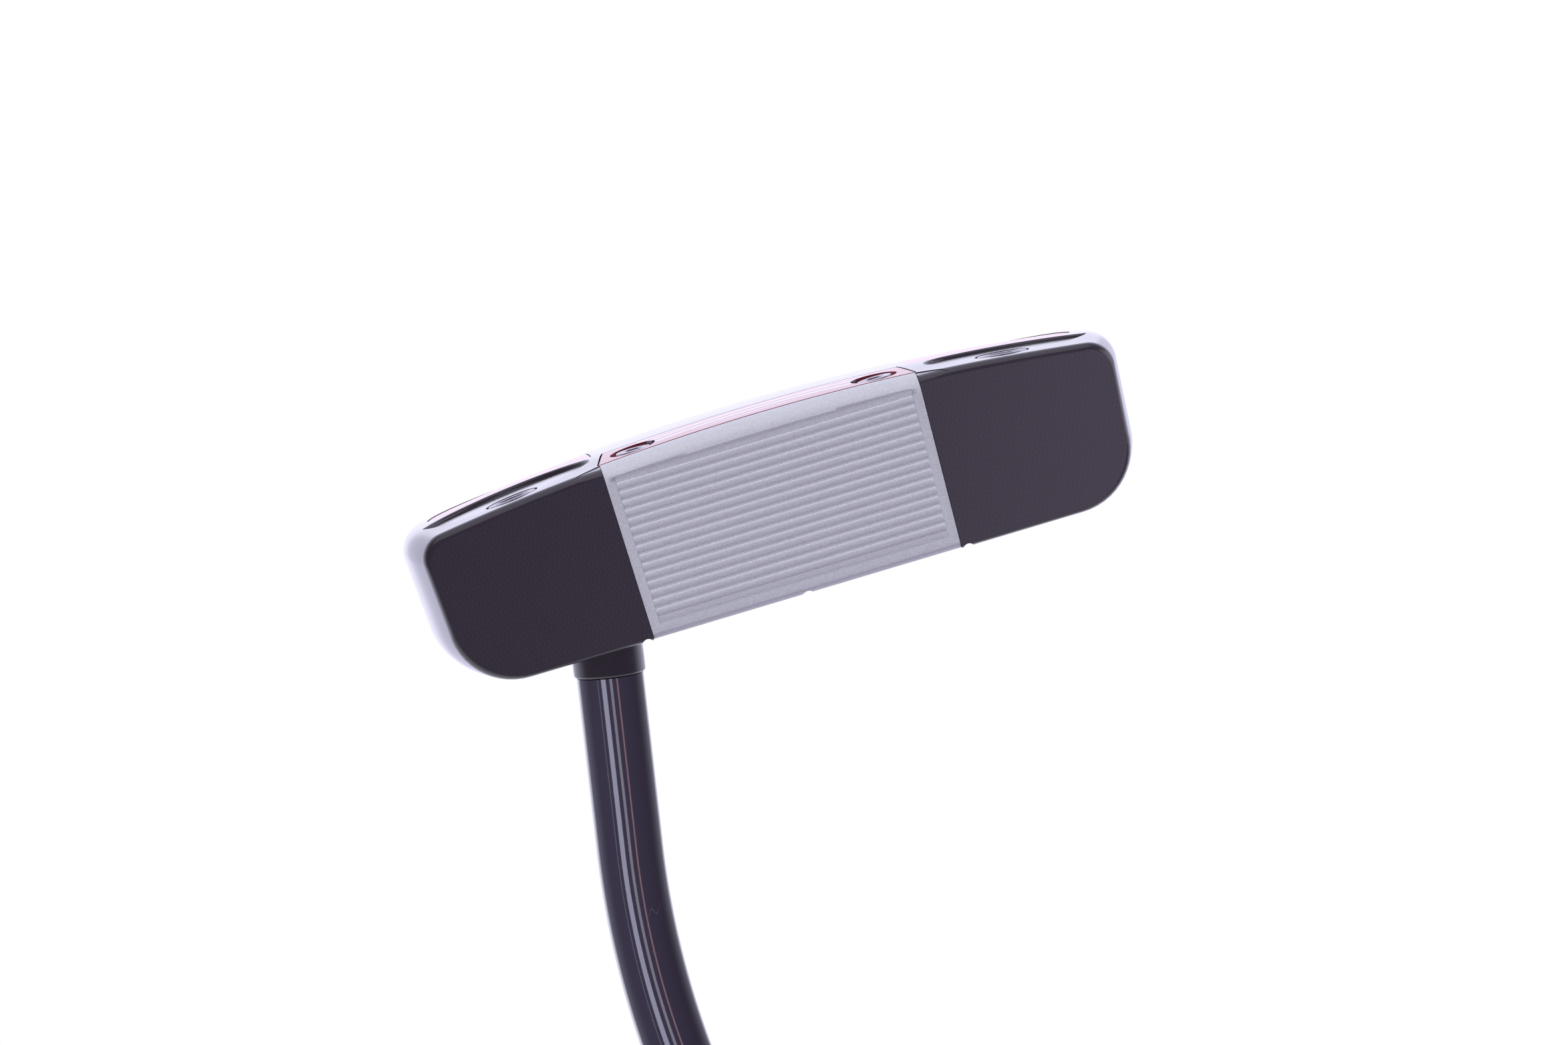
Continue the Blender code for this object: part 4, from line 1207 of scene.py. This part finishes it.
# %% Shaft route
BUTT_DIAMETER = 0.0150
FIRST_BEND_FROM_CROWN = 0.0436
FIRST_BEND_RADIUS = 0.104
FACE_MIDDLE = Vector((0.002, 0.0025, 0.0124))
SECOND_BEND_BELOW_FACE = 0.103
SECOND_BEND_RADIUS = 0.100
SHAFT_STEPS = 9
SHAFT_STEP_TOP = 0.600
SHAFT_STEP_PITCH = 0.036
SHAFT_STEP_LENGTH = 0.002
SHAFT_STEP_PARTS = 6
SHAFT_TIP_GAP = 0.0001
SHAFT_BUTT_HEIGHT = 0.0065
BEND_STEPS = 30


def bend(corner, before, after, radius):
    """Points round a corner between two directions, on an arc that touches both."""
    angle = before.angle(after)
    start = corner - before * radius * math.tan(angle / 2)
    axis = before.cross(after).normalized()
    centre = start + axis.cross(before) * radius
    turns = [Matrix.Rotation(angle * i / BEND_STEPS, 3, axis) for i in range(BEND_STEPS + 1)]
    return [(centre + turn @ (start - centre), turn @ before, TIP_DIAMETER / 2) for turn in turns]


down = Vector((0, 0, -1))
out = (hosel.to_3x3() @ Vector((0, 0, 1))).normalized()
first = hosel.translation + out * FIRST_BEND_FROM_CROWN
second = Vector((0, 0, (head @ FACE_MIDDLE).z - SECOND_BEND_BELOW_FACE))
between = (second - first).normalized()
route = [(hosel.translation + out * (COLLAR_LENGTH + SHAFT_TIP_GAP), out, TIP_DIAMETER / 2)]
route += bend(first, out, between, FIRST_BEND_RADIUS)
route += bend(second, between, down, SECOND_BEND_RADIUS)
growth = (BUTT_DIAMETER - TIP_DIAMETER) / 2 / SHAFT_STEPS
for i in range(SHAFT_STEPS):
    for part in range(SHAFT_STEP_PARTS + 1):
        fall = SHAFT_STEP_TOP - SHAFT_STEP_PITCH * i - SHAFT_STEP_LENGTH * part / SHAFT_STEP_PARTS
        radius = TIP_DIAMETER / 2 + growth * (i + eased(((0, 0), (SHAFT_STEP_PARTS, 1)), part))
        route.append((Vector((0, 0, fall)), down, radius))
route.append((Vector((0, 0, SHAFT_BUTT_HEIGHT)), down, BUTT_DIAMETER / 2))
print("shaft route:", len(route), "stations")

# %% Shaft
SHAFT_SIDES = 64


def tube(inset):
    """Circles square to the route, carried along it without twisting."""
    angles = [2 * math.pi * i / SHAFT_SIDES for i in range(SHAFT_SIDES)]
    loops = []
    across = route[0][1].orthogonal().normalized()
    last = route[0][1]
    for point, along, radius in route:
        across = last.rotation_difference(along) @ across
        last = along
        side_way = along.cross(across)
        ways = [across * math.cos(a) + side_way * math.sin(a) for a in angles]
        loops.append([point + (radius - inset) * way for way in ways])
    return loops


shaft = shape("gloss_shaft", loft(tube(0) + tube(SHAFT_WALL)[::-1], closed=True), Matrix())
soften(shaft)
dress(shaft, gloss.material, "club", "shaft_black", "shaft")

# %% [markdown]
# ## The grip
# A putter grip is moulded rubber with a flat front for the thumbs and a fuller back. Its section changes
# along its length, so it is lofted through computed sections. The rubber has a fine cross grain, and rows of
# small pips stand on the flat: one Geometry Nodes tree throws a grid of points at the front and sets a pip
# where each one lands.

# %% Rubber
RUBBER = (0.020, 0.020, 0.021, 1)
RUBBER_WORN = (0.034, 0.033, 0.034, 1)
WEAVE_PITCH = 0.0016

rubber = Finish("grip_rubber", {"Metallic": 0.0, "IOR": 1.5})
spot = rubber.place(Matrix())
x, y, z = rubber.axes(spot)
weave = wave(y + z, WEAVE_PITCH) * wave(y - z, WEAVE_PITCH)
worn = rubber.ramp(rubber.noise(spot, 0.030, 3), 0.4, 0.7)
pores = rubber.noise(spot, 0.0003, 2)
rubber.feed("Base Color", rubber.mix(worn * 0.6 + pores * 0.3, RUBBER, RUBBER_WORN))
rubber.feed("Roughness", 0.72 - worn * 0.14)
rubber.bump(weave * 0.5 * rubber.ramp(z, 0.006, 0.012) + pores * 0.25, 0.00012)
print("rubber:", len(rubber.tree.nodes), "nodes")

# %% Grip
GRIP_LENGTH = 0.267
CAP_THICKNESS = 0.0055
CAP_EDGE = 0.0016
GRIP_TIP_EDGE = 0.0012
GRIP_FRONT_FLATNESS = 0.32
GRIP_BORE = 0.0085
GRIP_BORE_PAST = 0.01
GRIP_HALF_WIDTHS = ((0.0, 0.0136), (0.22, 0.0131), (0.56, 0.0120), (1.0, 0.0104))
GRIP_FRONTS = ((0.0, 0.0112), (0.22, 0.0108), (0.56, 0.0102), (1.0, 0.0096))
GRIP_BACKS = ((0.0, 0.0152), (0.08, 0.0160), (0.32, 0.0128), (0.60, 0.0112), (1.0, 0.0102))
GRIP_SIDES = 96
GRIP_RINGS = 90
GRIP_TIP_RINGS = 4


def grip_loop(height, at, inset=0.0):
    """The grip's section at a share of its length: round at the back and the sides, flat in front."""
    width = eased(GRIP_HALF_WIDTHS, at) - inset
    front = eased(GRIP_FRONTS, at) - inset
    back = eased(GRIP_BACKS, at) - inset
    loop = []
    for i in range(GRIP_SIDES):
        angle = 2 * math.pi * (i + 0.5) / GRIP_SIDES
        c, s = math.cos(angle), math.sin(angle)
        loop.append(Vector((front * c**GRIP_FRONT_FLATNESS if c > 0 else back * c, width * s, height)))
    return loop


foot = CAP_THICKNESS + CLEARANCE
rise = (GRIP_LENGTH - GRIP_TIP_EDGE - foot) / GRIP_RINGS
loops = [grip_loop(foot + rise * i, (foot + rise * i) / GRIP_LENGTH) for i in range(GRIP_RINGS + 1)]
for i in range(1, GRIP_TIP_RINGS + 1):
    angle = math.pi / 2 / GRIP_TIP_RINGS * i
    lift = GRIP_LENGTH - GRIP_TIP_EDGE * (1 - math.sin(angle))
    loops.append(grip_loop(lift, 1, GRIP_TIP_EDGE * (1 - math.cos(angle))))
grip = shape("rubber_grip", loft(loops), Matrix())
grip_bore = ((GRIP_BORE, -GRIP_BORE_PAST), (GRIP_BORE, GRIP_LENGTH + GRIP_BORE_PAST))
carve(grip, turned("grip_bore", grip_bore, Matrix()))
print("grip:", len(grip.data.polygons), "faces")

# %% Grip pips
pips = Pattern("grip_pips", {
    "Columns": 7,
    "Rows": 72,
    "Width": 0.0138,
    "Length": 0.213,
    "Middle": Vector((0.030, 0, 0.1365)),
    "Pip radius": 0.00062,
    "Pip height": 0.00035,
    "Finish": rubber.material,
})
sheet = pips.node("GeometryNodeMeshGrid", sockets={
    "Size X": pips.given("Length"),
    "Size Y": pips.given("Width"),
    "Vertices X": pips.given("Rows"),
    "Vertices Y": pips.given("Columns"),
})
stood = pips.node("GeometryNodeTransform", sockets={
    0: sheet, "Translation": pips.given("Middle"), "Rotation": (0, -math.pi / 2, 0)})
throw = pips.node("GeometryNodeRaycast", sockets={
    "Target Geometry": pips.given("Geometry"), "Ray Direction": (-1, 0, 0)}, out="Hit Position")
normal = Wire(pips, throw.socket.node.outputs["Hit Normal"])
landed = pips.node("GeometryNodeSetPosition", sockets={0: stood, "Position": throw})
stand = pips.node("FunctionNodeAlignRotationToVector", {"axis": "Z"}, {"Vector": normal})
ball = pips.node("GeometryNodeMeshUVSphere", sockets={"Segments": 8, "Rings": 6, "Radius": 1.0})
pip = pips.node("GeometryNodeTransform", sockets={
    0: ball,
    "Scale": pips.vector(pips.given("Pip radius"), pips.given("Pip radius"), pips.given("Pip height")),
})
rows = pips.node("GeometryNodeInstanceOnPoints", sockets={
    "Points": landed, "Instance": pip, "Rotation": stand})
pips.finish(pips.given("Geometry"), rows)
pips.apply(grip)
soften(grip)
dress(grip, rubber.material, "club", "grip_rubber", "grip")

# %% [markdown]
# The butt is closed by a moulded plastic cap with a plug that goes into the shaft. Its skin has the faint
# orange peel of a textured mould.

# %% Cap plastic
PLASTIC = (0.028, 0.028, 0.030, 1)
PLASTIC_RUBBED = (0.045, 0.045, 0.048, 1)

moulded = Finish("cap_plastic", {"Metallic": 0.0})
spot = moulded.place(Matrix())
peel = moulded.noise(spot, 0.0005, 2)
rubbed = moulded.ramp(moulded.noise(spot, 0.008, 3), 0.45, 0.7)
moulded.feed("Base Color", moulded.mix(rubbed, PLASTIC, PLASTIC_RUBBED))
moulded.feed("Roughness", 0.42 + rubbed * 0.15)
moulded.bump(peel, 0.00003)
print("cap plastic:", len(moulded.tree.nodes), "nodes")

# %% Butt cap
CAP_EDGE_STEPS = 8
CAP_PLUG_RADIUS = 0.0067
CAP_PLUG_LENGTH = 0.012

loops = []
for i in range(CAP_EDGE_STEPS + 1):
    angle = math.pi / 2 - math.pi / 2 / CAP_EDGE_STEPS * i
    loops.append(grip_loop(CAP_EDGE * (1 - math.sin(angle)), 0, CAP_EDGE * (1 - math.cos(angle))))
loops.append(grip_loop(CAP_THICKNESS, CAP_THICKNESS / GRIP_LENGTH))
cap = shape("butt_cap", loft(loops), Matrix())
plug = ((CAP_PLUG_RADIUS, CAP_THICKNESS / 2), (CAP_PLUG_RADIUS, CAP_THICKNESS + CAP_PLUG_LENGTH))
combine(cap, turned("plug", plug, Matrix()), "UNION")
soften(cap)
dress(cap, moulded.material, "club", "cap_plastic", "grip_cap")

# %% [markdown]
# ## What stays inside
# The bushes, the washers and the two tapes are hidden in the finished club and show only where it is taken
# apart, so their solids stay as they are. They still get real finishes: turned steel, and a pale tape with a
# fibrous grain.

# %% Inside pieces
TAPE = (0.66, 0.63, 0.56, 1)
TAPE_FIBRE = (0.78, 0.75, 0.68, 1)

for side in SIDES:
    inner_steel = turned_metal(f"{side}_bush_steel", weight_place(side), 0.3)
    for node in (f"{side}_weight_bush", f"{side}_weight_washer"):
        coat(frame["nodes"][node], inner_steel)
    plate_steel = turned_metal(f"{side}_plate_bush_steel", plate_screw_place(side), 0.3)
    coat(frame["nodes"][f"{side}_plate_bush"], plate_steel)

film = Finish("bond_film", {"Metallic": 0.0})
spot = film.place(Matrix())
fibre = film.noise(film.stretched(spot, (1.0, 1.0, 0.15)), 0.0004, 3)
film.feed("Base Color", film.mix(fibre, TAPE, TAPE_FIBRE))
film.feed("Roughness", 0.55 + fibre * 0.2)
film.bump(fibre, 0.00004)
for node in ("insert_bond_tape", "grip_tape"):
    coat(frame["nodes"][node], film.material)
print("inside pieces dressed")

# %% [markdown]
# ## Studio
# The photograph is a backlit studio picture: a bright white screen behind the club, less light from the
# camera's side. The screen is the world itself: white where the camera looks, and a pale lavender in what
# metal mirrors from behind the head. In front the room is dim, so that black surfaces go pale only where they
# are seen at a glancing angle.

# %% World
WHITE = (1, 1, 1, 1)
BACK_LIGHT = (0.93, 0.92, 1.13, 1)
MIRRORED_SCREEN = (0.92, 0.91, 1.15, 1)
FRONT_LIGHT = (0.22, 0.18, 0.26, 1)
SCREEN_STARTS = -0.15
SCREEN_FULL = 0.8

world = bpy.data.worlds.new("studio")
world.use_nodes = True
scene.world = world
sky = Board(world.node_tree)
x, y, z = sky.axes(sky.node("ShaderNodeTexCoord", out="Generated"))
behind = sky.ramp(y, SCREEN_STARTS, SCREEN_FULL)
tent = sky.mix(behind, FRONT_LIGHT, BACK_LIGHT)
path = sky.node("ShaderNodeLightPath").socket.node
mirrored = Wire(sky, path.outputs["Is Glossy Ray"]) * behind
room = sky.mix(mirrored, tent, MIRRORED_SCREEN)
seen = Wire(sky, path.outputs["Is Camera Ray"]) + Wire(sky, path.outputs["Is Transmission Ray"])
screen = sky.mix(seen, room, WHITE)
world.node_tree.links.new(screen.socket, world.node_tree.nodes["Background"].inputs["Color"])
print("world: white screen")

# %% [markdown]
# Lamps add what the screen alone can't: a tall panel behind for the glancing shine of the sole, a soft lamp
# high on the left for the pale insert, a weak glow and a side light that lift the toe, a wide light above for
# the rims of the head, and strips whose reflections run down the glossy shaft and along its two edges. Each
# but the first lights only what it is there for, as flags would do it in a studio.

# %% Lamps
def panel(name, place, aim, size, radiance, colour):
    """A rectangular lamp of a given brightness, turned to a point."""
    lamp = bpy.data.lights.new(name, "AREA")
    lamp.shape = "RECTANGLE"
    lamp.size, lamp.size_y = size
    lamp.energy = radiance * math.pi * size[0] * size[1]
    lamp.color = colour
    obj = bpy.data.objects.new(name, lamp)
    turn = (aim - place).to_track_quat("-Z", "Y").to_matrix().to_4x4()
    obj.matrix_world = Matrix.Translation(place) @ turn
    obj.visible_camera = False
    scene.collection.objects.link(obj)
    return obj


def keep_to(lamp, piece):
    """Lets a lamp light one piece alone."""
    lit = bpy.data.collections.new(f"{lamp.name}_reach")
    lit.objects.link(piece)
    lamp.light_linking.receiver_collection = lit


middle = head @ Vector((0, 0.01, 0.013))
panel("back_panel", middle + Vector((0, 1.3, 0.22)), middle, (0.7, 1.2), 0.35, (0.97, 0.96, 1.0))
lamps = (
    ("front_soft", middle + Vector((-0.40, -0.66, 0.92)), (0.7, 0.7), 7.4, (0.99, 1.0, 0.98), insert),
    ("toe_glow", head @ Vector((0.54, -1.5, -0.18)), (0.6, 1.2), 0.75, (0.92, 0.80, 1.1), body),
    ("toe_fill", head @ Vector((1.35, -0.45, 0.1)), (1.5, 1.2), 1.1, (0.92, 0.88, 1.0), body),
    ("rim_light", head @ Vector((0, -0.55, 1.20)), (1.3, 1.7), 0.7, (0.92, 0.88, 1.0), body),
)
for name, place, size, radiance, colour, piece in lamps:
    keep_to(panel(name, place, middle, size, radiance, colour), piece)
print("panels placed round", [round(c, 3) for c in middle])

# %% Shaft strips
STRIPS = (
    ("strip_left", -25.6, 16, 10.2, (0.78, 0.78, 1.0)),
    ("strip_middle", 0.0, 9, 5.8, (0.92, 0.86, 1.0)),
    ("strip_right", 21.6, 5, 5.6, (1.0, 0.58, 0.52)),
    ("strip_far_left", -46.0, 3, 2.6, (0.9, 0.86, 1.0)),
    ("strip_rim_left", -147.0, 28, 1.7, (0.90, 0.89, 1.0)),
    ("strip_rim_right", 154.0, 24, 0.9, (0.90, 0.87, 1.0)),
)
STRIP_DISTANCE = 1.2
STRIP_HEIGHT = 2.0
STRIP_DROP = 0.15

toward = camera.matrix_world.translation - first
toward = (toward - out * toward.dot(out)).normalized()
left = out.cross(toward).normalized()
if left.dot(camera.matrix_world.to_3x3() @ Vector((1, 0, 0))) > 0:
    left = -left
aim = first + out * STRIP_DROP
for name, bearing, spread, radiance, colour in STRIPS:
    angle = math.radians(-bearing)
    place = aim + STRIP_DISTANCE * (toward * math.cos(angle) + left * math.sin(angle))
    size = (2 * STRIP_DISTANCE * math.tan(math.radians(spread / 2)), STRIP_HEIGHT)
    strip = panel(name, place, aim, size, radiance, colour)
    facing = (aim - place).normalized()
    upward = (out - facing * out.dot(facing)).normalized()
    basis = Matrix((upward.cross(-facing), upward, -facing)).transposed().to_4x4()
    strip.matrix_world = Matrix.Translation(place) @ basis
    keep_to(strip, shaft)
print("strips:", len(STRIPS))

# %% [markdown]
# The club stands on a pale floor that takes its shadow. A lamp overhead, kept to the floor alone, brings it
# up to the white of the screen. Far from the club the floor thins out until the screen shows through it, so
# that no horizon is left.

# %% Floor
FLOOR_PALE = (0.86, 0.86, 0.87, 1)
FLOOR_HALF = 12.0
FLOOR_DROP = 0.0005
FLOOR_THINS_FROM = 0.5
FLOOR_THINS_TO = 2.2

bm = bmesh.new()
corners = [Vector((a, b, 0)) * FLOOR_HALF for a, b in ((-1, -1), (1, -1), (1, 1), (-1, 1))]
bm.faces.new([bm.verts.new((corner.x, corner.y, -FLOOR_DROP)) for corner in corners])
floor = shape("floor", bm, Matrix())
ground = Finish("floor_white", {"Roughness": 0.9, "Base Color": FLOOR_PALE})
x, y, z = ground.axes(ground.place(Matrix()))
far = ground.ramp((x * x + y * y).root(), FLOOR_THINS_FROM, FLOOR_THINS_TO)
clear = ground.node("ShaderNodeBsdfTransparent")
both = ground.node("ShaderNodeMixShader", sockets={
    0: far, 1: Wire(ground, ground.shader.outputs[0]), 2: clear})
ground.tree.links.new(both.socket, ground.tree.nodes["Material Output"].inputs["Surface"])
floor.data.materials.append(ground.material)
above = panel("floor_light", Vector((0, 0, 2.2)), Vector((0, 0, 0)), (1.5, 1.5), 5.0, (1.0, 1.0, 0.95))
keep_to(above, floor)
print("floor laid")

# %% [markdown]
# ## Finish
# The dressed club has to keep the size of the solids.

# %% Finish
print("club dressed")
